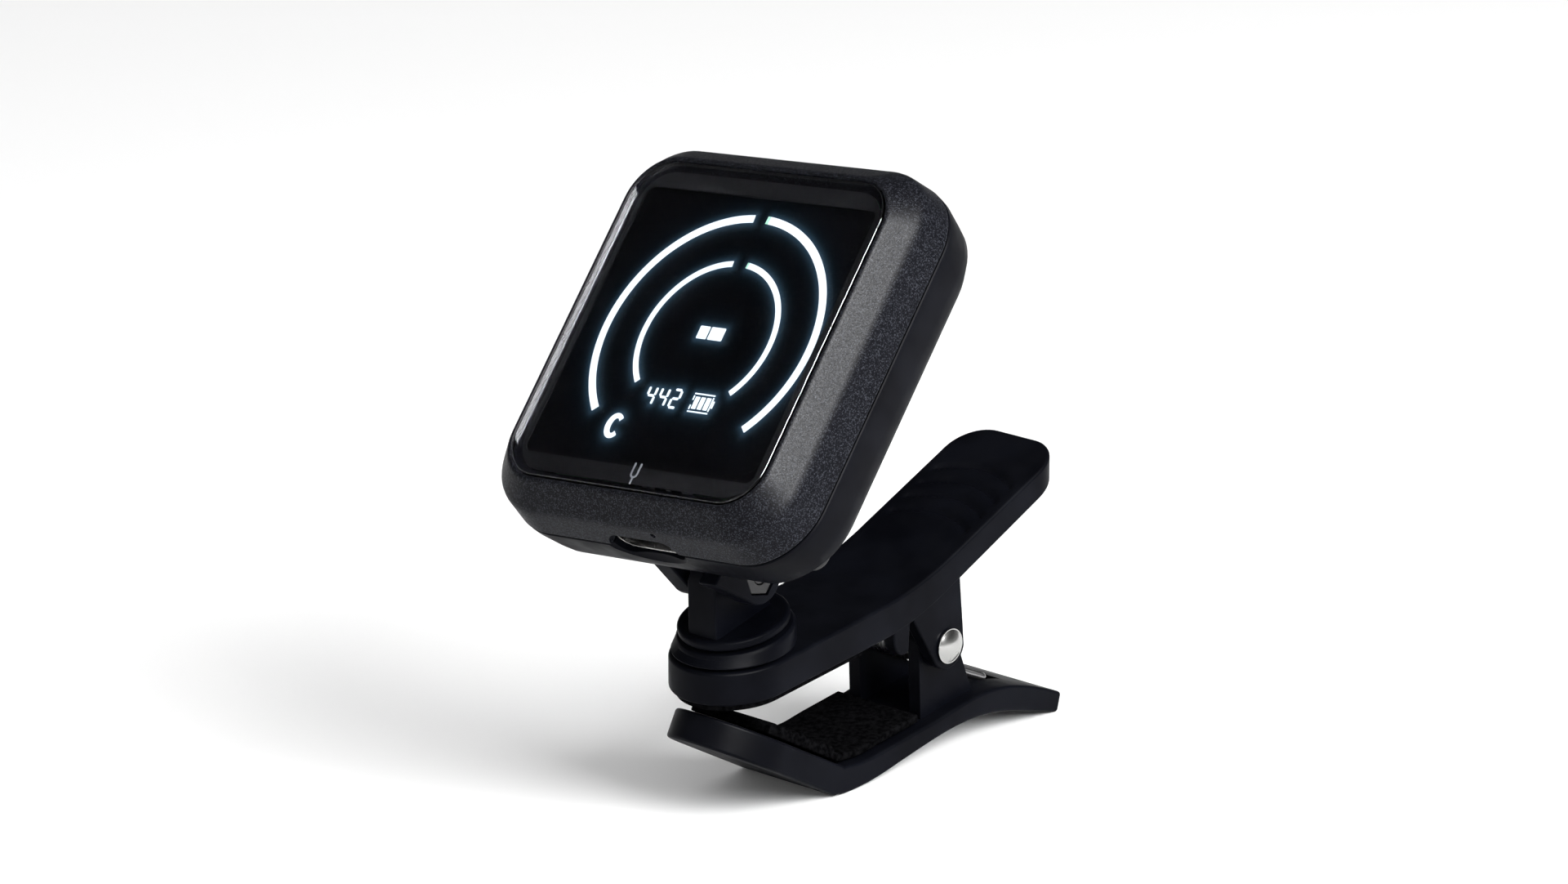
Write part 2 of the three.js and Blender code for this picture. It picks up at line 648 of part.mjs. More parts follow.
function lowerEar(side) {
  const { y, z } = PIVOT;
  const shape = new THREE.Shape();
  shape.moveTo(14.9, 4);
  shape.lineTo(23.9, 4.4);
  shape.lineTo(20.4, z + 0.4);
  shape.absarc(y, z, 2.9, 0.14, Math.PI - 0.1, false);
  const [from, to] = side > 0 ? [3.7, 5.3] : [-5.3, -3.7];
  return wall(shape, from, to);
}

function lowerLever() {
  const leg = turnAndMove(plate(legPlan(0, 0.9), 0, LEG.thick), legPlace);
  const tail = wall(tailOutline(), -HALF_WIDTH, HALF_WIDTH);
  const aboveTable = box([-20, 20], [-40, 50], [0, 60]);
  const eye = bar("x", PIN_RADIUS + SLIP, -9, 9, [PIVOT.y, PIVOT.z], 24);
  const springSeat = box([-3.4, 3.4], [26.2, 30.2], [4.1, 9]);
  const whole = join(leg, tail, lowerEar(1), lowerEar(-1)).intersect(aboveTable);
  return cut(whole, eye, springSeat);
}

// Ribbed liner: waves across the front leg, then a flat strip that runs back between the ears.
const RIBS = { count: 9, pitch: 1.25, height: 0.45, thick: 0.9, inset: 1.1 };

function lowerPad() {
  const start = -1.6;
  const base = LEG.thick + GAP;
  const shape = new THREE.Shape();
  shape.moveTo(start, base);
  shape.lineTo(start, base + RIBS.thick);
  const valley = base + RIBS.thick;
  for (let rib = 0; rib < RIBS.count; rib++) {
    const y = start - rib * RIBS.pitch;
    shape.quadraticCurveTo(y - RIBS.pitch / 2, valley + 2 * RIBS.height, y - RIBS.pitch, valley);
  }
  shape.lineTo(start - RIBS.count * RIBS.pitch, base);
  const ribbed = wall(shape, -HALF_WIDTH, HALF_WIDTH).intersect(plate(legPlan(RIBS.inset, 5), 0, 10));
  const strip = outlineOf([
    [1.2, 3.35], [3, 3.1], [6, 3.45], [13.6, 4.45],
    [13.6, 5.3], [6, 4.35], [3.2, 4.1], [0.3, 5.2], [-0.6, 4.4],
  ]);
  const half = HALF_WIDTH - RIBS.inset;
  return join(turnAndMove(ribbed, legPlace), wall(strip, -half, half));
}

// Rivet with a domed head outside each ear.
function pivotPin() {
  const face = HALF_WIDTH + SLIP;
  const head = [[0, 0], [1.95, 0], [1.95, 0.3], [1.5, 0.6], [0.8, 0.75], [0, 0.8]];
  const dome = turned(head);
  const right = dome.rotate([0, 90, 0]).translate([face, PIVOT.y, PIVOT.z]);
  const left = dome.rotate([0, -90, 0]).translate([-face, PIVOT.y, PIVOT.z]);
  return join(bar("x", PIN_RADIUS, -face - 0.1, face + 0.1, [PIVOT.y, PIVOT.z], 24), right, left);
}

function pivotSleeve() {
  const at = [PIVOT.y, PIVOT.z];
  return cut(bar("x", 1.5, -3.4, 3.4, at, 24), bar("x", PIN_RADIUS + SLIP, -4, 4, at, 24));
}

// Double torsion spring: two coils on the sleeve, a bridge on the lower tail and two ends that press
// on the upper lever.
const SPRING = {
  wire: 0.38,
  coil: 2.25,
  pitch: 0.95,
  innerX: 0.7,
  bridge: { y: 28.2, z: 5.25 },
  tip: { y: 28.5, z: 24.2 },
};

// One half of the spring, from its tip under the upper lever round the coil to the middle of the bridge.
function springHalf() {
  const { coil, pitch, innerX, bridge, tip } = SPRING;
  const fromAngle = 2.246; // where each straight leg is tangent to the coil
  const toAngle = 4.269 + 4 * Math.PI;
  const steps = 44;
  const onCoil = Array.from({ length: steps + 1 }, (_, i) => {
    const angle = fromAngle + ((toAngle - fromAngle) * i) / steps;
    const x = innerX + (pitch * (angle - fromAngle)) / (2 * Math.PI);
    return vector(x, PIVOT.y + coil * Math.cos(angle), PIVOT.z + coil * Math.sin(angle));
  });
  const start = vector(innerX, tip.y, tip.z);
  const end = vector(onCoil.at(-1).x, bridge.y - 0.7, bridge.z);
  const between = (a, b, share) => a.clone().lerp(b, share);
  return [
    start,
    between(start, onCoil[0], 0.5),
    ...onCoil,
    between(onCoil.at(-1), end, 0.5),
    end,
    vector(end.x - 0.5, bridge.y, bridge.z),
  ];
}

function springPath() {
  const half = springHalf();
  const mirrored = half.map(({ x, y, z }) => vector(-x, y, z)).reverse();
  return [...half, ...mirrored];
}

function torsionSpring() {
  const path = new THREE.CatmullRomCurve3(springPath(), false, "centripetal");
  const section = new THREE.Shape();
  section.absarc(0, 0, SPRING.wire, 0, 2 * Math.PI, false);
  const geometry = new THREE.ExtrudeGeometry(section, { steps: 200, curveSegments: 4, extrudePath: path });
  return solidOf(geometry);
}

// Ring of points round an upright or leaning axis, counter-clockwise seen from above.
function circlePoints(radius, place) {
  return Array.from({ length: COLLAR.sides }, (_, i) => {
    const angle = (i / COLLAR.sides) * 2 * Math.PI;
    return place(vector(radius * Math.cos(angle), radius * Math.sin(angle), 0)).toArray();
  });
}

// Bearing ring: its foot follows the round nose on the lever's top and its rim faces the disc.
function swivelCollar() {
  const { top, foot, upper } = COLLAR;
  const axis = vector(1, 0, 0);
  const onLever = (point) => vector(point.x, NOSE_Y + point.y, topHeight(NOSE_Y + point.y) + GAP);
  const onSwivel = (height) => (point) =>
    vector(point.x, point.y, height)
      .applyAxisAngle(axis, radians(SWIVEL_LEAN))
      .add(vector(0, SWIVEL_CENTRE.y, SWIVEL_CENTRE.z));
  const body = skin([
    circlePoints(foot, onLever),
    circlePoints(top, onSwivel(upper - 0.4)),
    circlePoints(top - 0.4, onSwivel(upper)),
  ]);
  return cut(body, turnAndMove(bar("z", SHAFT.radius + SLIP, -8, 2), swivelPlace));
}

// ---------------------------------------------------------------- assembly

const tuner = new THREE.Group();
const clamp = new THREE.Group();
const swivel = new THREE.Group();
const head = new THREE.Group();
const face = new THREE.Group();

clamp.add(
  mesh("lower_lever", lowerLever(), satinBlack),
  mesh("lower_jaw_pad", lowerPad(), rubberBlack),
  mesh("pivot_pin", pivotPin(), steel),
  mesh("pivot_sleeve", pivotSleeve(), nylon),
  mesh("torsion_spring", torsionSpring(), steel),
  mesh("upper_lever", upperLever(), satinBlack),
  mesh("upper_jaw_pad", upperPadBlock(), rubberBlack),
  mesh("swivel_collar", swivelCollar(), satinBlack),
);

swivel.position.set(0, SWIVEL_CENTRE.y, SWIVEL_CENTRE.z);
swivel.rotation.x = radians(SWIVEL_LEAN);
swivel.add(
  mesh("swivel_post", swivelPost(), satinBlack),
  mesh("swivel_screw", swivelScrew(), darkSteel),
  mesh("swivel_washer", swivelWasher(), nylon),
);

const lean = radians(SWIVEL_LEAN);
head.position.set(
  0,
  SWIVEL_CENTRE.y - HINGE_HEIGHT * Math.sin(lean),
  SWIVEL_CENTRE.z + HINGE_HEIGHT * Math.cos(lean),
);
head.rotation.order = "YXZ";
head.rotation.set(radians(-HEAD_TILT), radians(-HEAD_LEAN), 0);
face.position.set(0, LENS_FROM_HINGE.y, LENS_FROM_HINGE.z);
face.add(...headPieces());
head.add(face, ...hingePieces());

tuner.add(clamp, swivel, head);
tuner.updateMatrixWorld(true);
const bounds = new THREE.Box3().setFromObject(tuner, true);
const middle = bounds.getCenter(vector());
tuner.position.set(-middle.x, -middle.y, -bounds.min.z);

export default tuner;
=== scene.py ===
"""Looks of a clip-on instrument tuner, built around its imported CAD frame.

Shapes are drawn in millimetres in a local frame and then placed in metres with a matrix that comes
from the CAD joints: CLAMP stands on the table, SWIVEL turns with the neck, HEAD hangs on the hinge
and FACE is the head seen from the front of its cover lens (X right, Y depth, Z up).
"""

import json
import math

import bmesh
import bpy
import numpy as np
from mathutils import Matrix, Vector


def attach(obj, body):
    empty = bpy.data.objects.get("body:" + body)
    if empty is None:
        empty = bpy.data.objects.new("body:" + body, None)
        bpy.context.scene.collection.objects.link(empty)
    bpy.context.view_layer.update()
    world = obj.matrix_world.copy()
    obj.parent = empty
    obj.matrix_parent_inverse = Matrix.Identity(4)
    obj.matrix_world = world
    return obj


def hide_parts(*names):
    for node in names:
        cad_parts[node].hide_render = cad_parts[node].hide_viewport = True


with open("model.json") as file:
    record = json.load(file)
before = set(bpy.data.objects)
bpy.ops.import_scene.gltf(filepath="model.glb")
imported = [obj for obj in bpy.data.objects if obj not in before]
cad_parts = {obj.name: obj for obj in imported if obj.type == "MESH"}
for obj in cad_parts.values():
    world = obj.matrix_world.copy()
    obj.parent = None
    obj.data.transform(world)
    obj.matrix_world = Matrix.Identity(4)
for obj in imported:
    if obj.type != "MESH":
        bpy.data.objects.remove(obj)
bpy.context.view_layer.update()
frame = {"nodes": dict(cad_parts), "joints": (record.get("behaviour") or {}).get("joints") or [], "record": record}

# ---------------------------------------------------------------- driving dimensions (mm)

MM = 0.001
GAP = 0.3
SLIP = 0.15

LENS = {"x": 17.9, "z": 19.25, "r": 4.8, "thick": 1.2}
CHAMFER = {"x": 20.9, "z": 22.3, "r": 7.0, "depth": 3.1}
PARTING = {"x": 21.45, "z": 22.85, "r": 7.6, "depth": 6.8}
HEAD_DEPTH = 14.4
WALL = 1.3
LENS_FROM_HINGE = Vector((0, -19, 18.4))

EAR = {"radius": 3.2, "inner": 2.75, "outer": 5.3, "nut_root": 4.4, "head_root": 2.6}
TONGUE_HALF = 2.0
SCREW_RADIUS = 1.0
NUT = {"flats": 4.0, "thick": 1.6}
HINGE_HEIGHT = 6.5

DISC = {"radius": 6.1, "top": 0.9, "bottom": -0.15}
SHAFT = {"radius": 2.3, "end": -3.4}
COLLAR = {"top": 6.5, "foot": 6.7, "upper": -0.45}

HALF_WIDTH = 6.95
PIVOT = {"y": 17.45, "z": 12.5}
PIN_RADIUS = 1.1
LEG_SLOPE = math.radians(29)
LEG = {"thick": 3.3, "reach": 11.1, "start": -0.7}
NOSE_Y = -9.45
TAIL = {"y": 36.8, "corner": 4.2}

USB = {"x": 0.5, "depth": 6.8, "half": 4.47, "thick": 3.2, "length": 7.3}
BUTTONS = {"z": 13.5, "pitch": 9.5, "radius": 3.0, "proud": 0.5}
CASE_SCREW = {"x": 16.3, "z": 17.4, "head": 1.6, "head_depth": 1.1, "cross": (1.1, 0.2)}
PIN_HOLE = {"x": 3.6, "depth": 3.7, "radius": 0.35}
LCD = {"x": 16.6, "z": 16.6, "front": 1.55, "back": 2.8}

KEY_LIGHT = {"direction": (0.9, 0.1, 0.62), "distance": 0.6, "size": 0.4, "power": 6.5}
SOFTBOX = {"direction": (0.55, -0.33, 0.77), "distance": 0.55, "size": 0.3, "power": 22.0}
SURROUND = 0.72
CAMERA = {"azimuth": 42.2, "elevation": 17.2, "lens": 148.3, "from_hinge": (0.4388, -0.47457, 0.21408)}

CORNERS = ((1, 1), (-1, 1), (-1, -1), (1, -1))

# ---------------------------------------------------------------- local frames

joints = {joint["name"]: joint for joint in frame["joints"]}


def local_frame(origin, x, y, z):
    """Matrix from local millimetres to metres in the row frame."""
    turn = Matrix((x, y, z)).transposed().to_4x4()
    return Matrix.Translation(origin) @ turn @ Matrix.Scale(MM, 4)


pivot_point = Vector(joints["clip_open"]["pos_m"])
swivel_point = Vector(joints["neck_swivel"]["pos_m"])
hinge_point = Vector(joints["head_tilt"]["pos_m"])
swivel_axis = Vector(joints["neck_swivel"]["axis"]).normalized()
hinge_axis = Vector(joints["head_tilt"]["axis"]).normalized()
depth_axis = -Vector(joints["power_press"]["axis"]).normalized()

AXES = [Vector((1, 0, 0)), Vector((0, 1, 0)), Vector((0, 0, 1))]
CLAMP = local_frame(pivot_point, *AXES) @ Matrix.Translation((0, -PIVOT["y"], -PIVOT["z"]))
SWIVEL = local_frame(swivel_point, AXES[0], swivel_axis.cross(AXES[0]), swivel_axis)
HEAD = local_frame(hinge_point, hinge_axis, depth_axis, hinge_axis.cross(depth_axis))
FACE = HEAD @ Matrix.Translation(LENS_FROM_HINGE)
HINGE_IN_FACE = (-LENS_FROM_HINGE.y, -LENS_FROM_HINGE.z)
SWIVEL_IN_CLAMP = CLAMP.inverted() @ SWIVEL

# ---------------------------------------------------------------- mesh helpers (local mm)


def linked(name, data):
    """A new object of the scene that shows the data."""
    piece = bpy.data.objects.new(name, data)
    bpy.context.scene.collection.objects.link(piece)
    return piece


def object_from(name, vertices, faces):
    """A mesh object with merged corners and outward faces."""
    mesh = bpy.data.meshes.new(name)
    mesh.from_pydata([tuple(v) for v in vertices], [], faces)
    piece = linked(name, mesh)
    clean(piece)
    return piece


def clean(piece, merge=1e-4):
    """Merges doubled corners and turns every face outward."""
    bm = bmesh.new()
    bm.from_mesh(piece.data)
    bmesh.ops.remove_doubles(bm, verts=bm.verts, dist=merge)
    bmesh.ops.dissolve_degenerate(bm, edges=bm.edges, dist=merge / 2)
    bmesh.ops.recalc_face_normals(bm, faces=bm.faces)
    bm.to_mesh(piece.data)
    bm.free()


def final_mesh(piece):
    """The piece's mesh as its modifiers or its curve make it."""
    depsgraph = bpy.context.evaluated_depsgraph_get()
    return bpy.data.meshes.new_from_object(piece.evaluated_get(depsgraph))


def bake(piece):
    """Applies the piece's modifiers to its mesh."""
    mesh = final_mesh(piece)
    piece.modifiers.clear()
    piece.data = mesh


def bevel(piece, width, angle=30, segments=3):
    """Rounds every edge that is sharper than the angle."""
    modifier = piece.modifiers.new("bevel", "BEVEL")
    modifier.width = width
    modifier.segments = segments
    modifier.limit_method = "ANGLE"
    modifier.angle_limit = math.radians(angle)
    modifier.use_clamp_overlap = True
    bake(piece)
    return piece


def combine(piece, operation, *tools):
    """Joins or cuts piece with each tool, and removes the tools."""
    for tool in tools:
        modifier = piece.modifiers.new("boolean", "BOOLEAN")
        modifier.operation = operation
        modifier.solver = "EXACT"
        modifier.object = tool
        bake(piece)
        bpy.data.objects.remove(tool)
    return piece


def join(piece, *tools):
    return combine(piece, "UNION", *tools)


def cut(piece, *tools):
    return combine(piece, "DIFFERENCE", *tools)


def band_faces(ring_count, count, closed=False):
    """Faces between neighbouring rings of count points; closed joins the last ring to the first."""
    faces = []
    for band in range(ring_count if closed else ring_count - 1):
        a = band * count
        b = (band + 1) % ring_count * count
        for i in range(count):
            j = (i + 1) % count
            faces.append((a + i, a + j, b + j, b + i))
    return faces


def grid_faces(rows, columns, start=0):
    """Faces of a grid whose rows hold columns + 1 points each."""
    faces = []
    for row in range(rows):
        a = start + row * (columns + 1)
        b = a + columns + 1
        faces += [(a + i, a + i + 1, b + i + 1, b + i) for i in range(columns)]
    return faces


def stack(name, rings, closed=False):
    """Skin through rings of points with the same count; an open stack gets flat ends."""
    count = len(rings[0])
    vertices = [point for ring in rings for point in ring]
    faces = band_faces(len(rings), count, closed)
    if not closed:
        faces.append(tuple(range(count)))
        faces.append(tuple(range(len(vertices) - count, len(vertices))))
    return object_from(name, vertices, faces)


def rounded(x, z, r, steps=14):
    """Points of a rounded rectangle with half sizes x and z."""
    points = []
    for corner, (sx, sz) in enumerate(CORNERS):
        for step in range(steps + 1):
            angle = (corner + step / steps) * math.pi / 2
            points.append((sx * (x - r) + r * math.cos(angle), sz * (z - r) + r * math.sin(angle)))
    return points


def section(size, depth, shrink=0.0):
    """A rounded rectangle of the head at a depth."""
    r = max(size["r"] - shrink, 0.4)
    return [(a, depth, b) for a, b in rounded(size["x"] - shrink, size["z"] - shrink, r)]


PLACERS = {
    "x": lambda a, b, level: (level, a, b),
    "y": lambda a, b, level: (a, level, b),
    "z": lambda a, b, level: (a, b, level),
}


def prism(name, outline, start, end, axis="x"):
    """Outline extruded along an axis: (y, z) along x, (x, z) along y or (x, y) along z."""
    place = PLACERS[axis]
    return stack(name, [[place(a, b, level) for a, b in outline] for level in (start, end)])


def circle(radius, centre=(0, 0), sides=64, start=0.0, end=2 * math.pi):
    """Points of a circle, or of an arc with both its ends."""
    full = end - start > 2 * math.pi - 1e-6
    steps = sides if full else sides + 1
    angles = [start + (end - start) * i / sides for i in range(steps)]
    return [round_point(centre, radius, angle) for angle in angles]


def round_point(centre, radius, angle):
    return (centre[0] + radius * math.cos(angle), centre[1] + radius * math.sin(angle))


def rod(name, radius, start, end, axis="x", centre=(0, 0), sides=48):
    return prism(name, circle(radius, centre, sides), start, end, axis)


def lathe(name, profile, sides=96):
    """Turned about Z from (radius, height) points that start and end on the axis."""
    rings = []
    for radius, height in profile:
        size = max(radius, 1e-5)
        rings.append([(a, b, height) for a, b in circle(size, sides=sides)])
    return stack(name, rings)


def fillet_arc(centre, radius, start, end, steps=5):
    """Points of an arc in a profile, angles in degrees."""
    angles = [math.radians(start + (end - start) * i / steps) for i in range(steps + 1)]
    return [round_point(centre, radius, angle) for angle in angles]


def bezier(*points, steps=12):
    """Points of a Bezier curve, without its first point."""
    result = []
    for step in range(1, steps + 1):
        t = step / steps
        row = [np.array(p, float) for p in points]
        while len(row) > 1:
            row = [(1 - t) * a + t * b for a, b in zip(row, row[1:])]
        result.append(tuple(row[0]))
    return result


def moved(piece, matrix):
    piece.data.transform(matrix)
    return piece


# ---------------------------------------------------------------- plates with rounded edges


def plan_normals(plan):
    """Outward normals of a right-hand outline that runs from the nose to the tail."""
    points = np.array(plan, float)
    forward = np.gradient(points, axis=0)
    forward[0] = (1, 0)
    last_step = np.abs(points[-1] - points[-2])
    if last_step[1] < last_step[0]:
        forward[-1] = (-1, 0)
    forward /= np.linalg.norm(forward, axis=1)[:, None]
    return np.column_stack([forward[:, 1], -forward[:, 0]])


def rim_rings(fillet, steps):
    """Rings of a plate's rounded rim as (inset, rise, upper side or not), from below to above."""
    turns = [math.pi / 2 * i / steps for i in range(steps + 1)]
    rounding = [(fillet * (1 - math.sin(a)), fillet * (1 - math.cos(a))) for a in turns]
    lower = [(inset, rise, False) for inset, rise in rounding]
    upper = [(inset, rise, True) for inset, rise in reversed(rounding)]
    return lower + upper


def plate(name, plan, across, fillet, relief=None, columns=28, steps=4):
    """A bent plate with rounded edges.

    plan is the right half of its outline as (x, s) from the nose to the tail, and across(s) gives the
    plate's lower and upper (y, z) at that station. relief(x, s) raises the upper surface.
    """
    normals = plan_normals(plan)
    rings = rim_rings(fillet, steps)

    def point(x, s, rise, upper):
        low, high = (np.array(p, float) for p in across(s))
        along = (high - low) / np.linalg.norm(high - low)
        spot = high - along * rise if upper else low + along * rise
        if upper and relief:
            spot = spot + along * relief(x, s)
        return (x, spot[0], spot[1])

    vertices = []
    for inset, rise, upper in rings:
        right = [(max(x - inset * n[0], 0), s - inset * n[1]) for (x, s), n in zip(plan, normals)]
        vertices += [point(x, s, rise, upper) for x, s in right]
        vertices += [point(-x, s, rise, upper) for x, s in reversed(right)]
    faces = band_faces(len(rings), 2 * len(plan))
    for upper in (False, True):
        start = len(vertices)
        for (x, s), n in zip(plan, normals):
            half, station = max(x - fillet * n[0], 0), s - fillet * n[1]
            for column in range(columns + 1):
                vertices.append(point(half * (1 - 2 * column / columns), station, 0, upper))
        faces += grid_faces(len(plan) - 1, columns, start)
    return object_from(name, vertices, faces)


def nose_plan(half, centre, end, spacing=0.6, corner=0.0, steps=26):
    """Right half of a plate's outline: round nose, straight side and a tail with round corners."""
    turns = np.linspace(0, math.pi / 2, steps)
    nose = [(half * math.sin(a), centre - half * math.cos(a)) for a in turns]
    straight_end = end - corner
    stations = np.arange(centre + spacing, straight_end - spacing / 2, spacing)
    side = [(half, s) for s in stations]
    tail = [(half, straight_end)]
    if corner:
        angles = np.linspace(0, math.pi / 2, 14)[1:]
        tail += [round_point((half - corner, straight_end), corner, a) for a in angles]
    return nose + side + tail


def height_along(points):
    """Height as a function of y, through (y, z) points."""
    ys, zs = zip(*sorted(points))
    return lambda y: float(np.interp(y, ys, zs))


# ---------------------------------------------------------------- materials


def nodes_of(name):
    """A new material with its node tree and its shader."""
    look = bpy.data.materials.new(name)
    look.use_nodes = True
    tree = look.node_tree
    return look, tree, tree.nodes["Principled BSDF"]


def noise(tree, scale, detail=2.0):
    """Noise over the object's own coordinates; scale is in waves per metre."""
    place = tree.nodes.new("ShaderNodeTexCoord")
    node = tree.nodes.new("ShaderNodeTexNoise")
    node.inputs["Scale"].default_value = scale
    node.inputs["Detail"].default_value = detail
    tree.links.new(place.outputs["Object"], node.inputs["Vector"])
    return node.outputs["Fac"]


def ramp(tree, value, low, high, start=0.35, end=0.65):
    """Colours or greys spread over a value."""
    node = tree.nodes.new("ShaderNodeValToRGB")
    stops = zip(node.color_ramp.elements, (start, end), (low, high))
    for stop, position, colour in stops:
        stop.position = position
        stop.color = (*colour, 1) if isinstance(colour, tuple) else (colour, colour, colour, 1)
    tree.links.new(value, node.inputs["Fac"])
    return node.outputs["Color"]


def fine_bump(tree, shader, height, millimetres):
    """Raises the surface by a height value times a size."""
    node = tree.nodes.new("ShaderNodeBump")
    node.inputs["Strength"].default_value = 1.0
    node.inputs["Distance"].default_value = millimetres * MM
    tree.links.new(height, node.inputs["Height"])
    tree.links.new(node.outputs["Normal"], shader.inputs["Normal"])


def uneven(tree, socket, scale, low, high):
    """Drives a socket with noise spread between two values."""
    tree.links.new(ramp(tree, noise(tree, scale), low, high), socket)


def surface(name, colours, roughness, metallic=0.0, specular=0.5, ior=1.5, grain=4000, bump=0.02,
            patch=160):
    """A material with slightly uneven colour and roughness and a fine surface grain.

    grain and patch are noise scales in waves per metre; bump is the grain's height in millimetres.
    """
    look, tree, shader = nodes_of(name)
    uneven(tree, shader.inputs["Base Color"], patch, *colours)
    uneven(tree, shader.inputs["Roughness"], patch * 2.3, *roughness)
    shader.inputs["Metallic"].default_value = metallic
    shader.inputs["Specular IOR Level"].default_value = specular
    shader.inputs["IOR"].default_value = ior
    fine_bump(tree, shader, noise(tree, grain, 3.0), bump)
    return look


def sparkle_plastic():
    """Satin black lacquer with fine metal flakes."""
    look, tree, shader = nodes_of("sparkle_plastic")
    place = tree.nodes.new("ShaderNodeTexCoord")
    cells = tree.nodes.new("ShaderNodeTexVoronoi")
    cells.inputs["Scale"].default_value = 9000
    tree.links.new(place.outputs["Object"], cells.inputs["Vector"])
    flakes = tree.nodes.new("ShaderNodeSeparateColor")
    tree.links.new(cells.outputs["Color"], flakes.inputs["Color"])
    tint = ramp(tree, flakes.outputs["Red"], (0.003, 0.0033, 0.005), (0.03, 0.032, 0.04), 0.6, 1.0)
    tree.links.new(tint, shader.inputs["Base Color"])
    tree.links.new(ramp(tree, flakes.outputs["Green"], 0.36, 0.5, 0.2, 0.9), shader.inputs["Roughness"])
    shader.inputs["Specular IOR Level"].default_value = 0.5
    shader.inputs["IOR"].default_value = 1.15
    fine_bump(tree, shader, flakes.outputs["Blue"], 0.004)
    return look


def smoked_lens():
    """Smoke-tinted clear plastic."""
    look, tree, shader = nodes_of("smoked_lens")
    uneven(tree, shader.inputs["Base Color"], 90, (0.5, 0.51, 0.53), (0.54, 0.55, 0.57))
    uneven(tree, shader.inputs["Roughness"], 260, 0.015, 0.04)
    shader.inputs["Transmission Weight"].default_value = 1.0
    shader.inputs["IOR"].default_value = 1.47
    return look


def display_panel():
    """Black display whose surface carries the soft halo of the lit segments."""
    look, tree, shader = nodes_of("display_black")
    uneven(tree, shader.inputs["Base Color"], 700, (0.002, 0.002, 0.003), (0.004, 0.004, 0.005))
    shader.inputs["Roughness"].default_value = 0.3
    shader.inputs["Specular IOR Level"].default_value = 0.2
    halo = tree.nodes.new("ShaderNodeAttribute")
    halo.attribute_name = "halo"
    tint = ramp(tree, halo.outputs["Fac"], (0.0, 0.0, 0.0), (0.25, 0.55, 0.85), 0.0, 1.0)
    tree.links.new(tint, shader.inputs["Emission Color"])
    shader.inputs["Emission Strength"].default_value = 0.9
    return look


def glowing(name, low, high, strength):
    """A lit segment's material."""
    look, tree, shader = nodes_of(name)
    uneven(tree, shader.inputs["Emission Color"], 900, low, high)
    shader.inputs["Emission Strength"].default_value = strength
    shader.inputs["Base Color"].default_value = (0.6, 0.62, 0.65, 1)
    return look


def satin(name, grain, bump):
    """Near-black satin finish with a faint blue cast."""
    colours = (0.0015, 0.0017, 0.003), (0.003, 0.0034, 0.0055)
    return surface(name, colours, (0.38, 0.48), specular=0.3, ior=1.14, grain=grain, bump=bump)


looks = {
    "satin_plastic": satin("satin_plastic", 2600, 0.004),
    "cast_lever": satin("cast_lever", 1800, 0.005),
    "painted_lever": satin("painted_lever", 1500, 0.006),
    "sparkle_plastic": sparkle_plastic(),
    "smoked_lens": smoked_lens(),
    "display_black": display_panel(),
    "jaw_rubber": surface(
        "jaw_rubber", ((0.0008, 0.0008, 0.001), (0.004, 0.004, 0.0045)), (0.8, 0.95),
        specular=0.05, ior=1.1, grain=2200, bump=0.09, patch=1800,
    ),
    "button_rubber": surface(
        "button_rubber", ((0.006, 0.006, 0.007), (0.01, 0.01, 0.011)), (0.6, 0.75),
        specular=0.3, grain=3000, bump=0.02,
    ),
    "polished_steel": surface(
        "polished_steel", ((0.44, 0.44, 0.43), (0.52, 0.51, 0.5)), (0.2, 0.3),
        metallic=1.0, grain=900, bump=0.004,
    ),
    "spring_steel": surface(
        "spring_steel", ((0.32, 0.32, 0.33), (0.45, 0.45, 0.45)), (0.22, 0.36),
        metallic=1.0, grain=1500, bump=0.006,
    ),
    "dark_steel": surface(
        "dark_steel", ((0.012, 0.012, 0.013), (0.02, 0.02, 0.021)), (0.3, 0.42),
        metallic=0.4, grain=2400, bump=0.008,
    ),
    "nylon": surface(
        "nylon", ((0.012, 0.012, 0.014), (0.02, 0.02, 0.022)), (0.45, 0.6),
        grain=1800, bump=0.008,
    ),
    "light_guide": surface("light_guide", ((0.75, 0.77, 0.8), (0.82, 0.84, 0.86)), (0.35, 0.45)),
    "board": surface(
        "board", ((0.006, 0.07, 0.02), (0.012, 0.11, 0.035)), (0.35, 0.5),
        patch=420, bump=0.02,
    ),
    "chip_black": surface(
        "chip_black", ((0.008, 0.008, 0.009), (0.014, 0.014, 0.015)), (0.4, 0.6),
        bump=0.01,
    ),
    "cell_foil": surface(
        "cell_foil", ((0.45, 0.47, 0.5), (0.55, 0.57, 0.6)), (0.25, 0.45),
        metallic=0.9, grain=700, bump=0.03,
    ),
    "foam": surface(
        "foam", ((0.04, 0.04, 0.045), (0.08, 0.08, 0.085)), (0.85, 0.95),
        grain=1500, bump=0.2, patch=1500,
    ),
    "sensor_brass": surface(
        "sensor_brass", ((0.55, 0.37, 0.13), (0.65, 0.46, 0.19)), (0.25, 0.4),
        metallic=1.0,
    ),
}
segment_light = glowing("segment_light", (0.74, 0.89, 1.0), (0.82, 0.94, 1.0), 2.3)
segment_green = glowing("segment_green", (0.25, 0.8, 0.5), (0.3, 0.9, 0.55), 1.6)


def settle(piece, place, body, slot, *nodes, look=None, sharp=32):
    """Places a finished piece in the row frame, paints it, ties it to its body and hides the CAD nodes it stands
    for.
    """
    clean(piece)
    moved(piece, place)
    piece.data.materials.clear()
    piece.data.materials.append(look or looks[slot])
    piece.data.shade_smooth()
    piece.data.set_sharp_from_angle(angle=math.radians(sharp))
    normals = piece.modifiers.new("normals", "WEIGHTED_NORMAL")
    normals.keep_sharp = True
    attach(piece, body)
    if nodes:
        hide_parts(*nodes)
    return piece


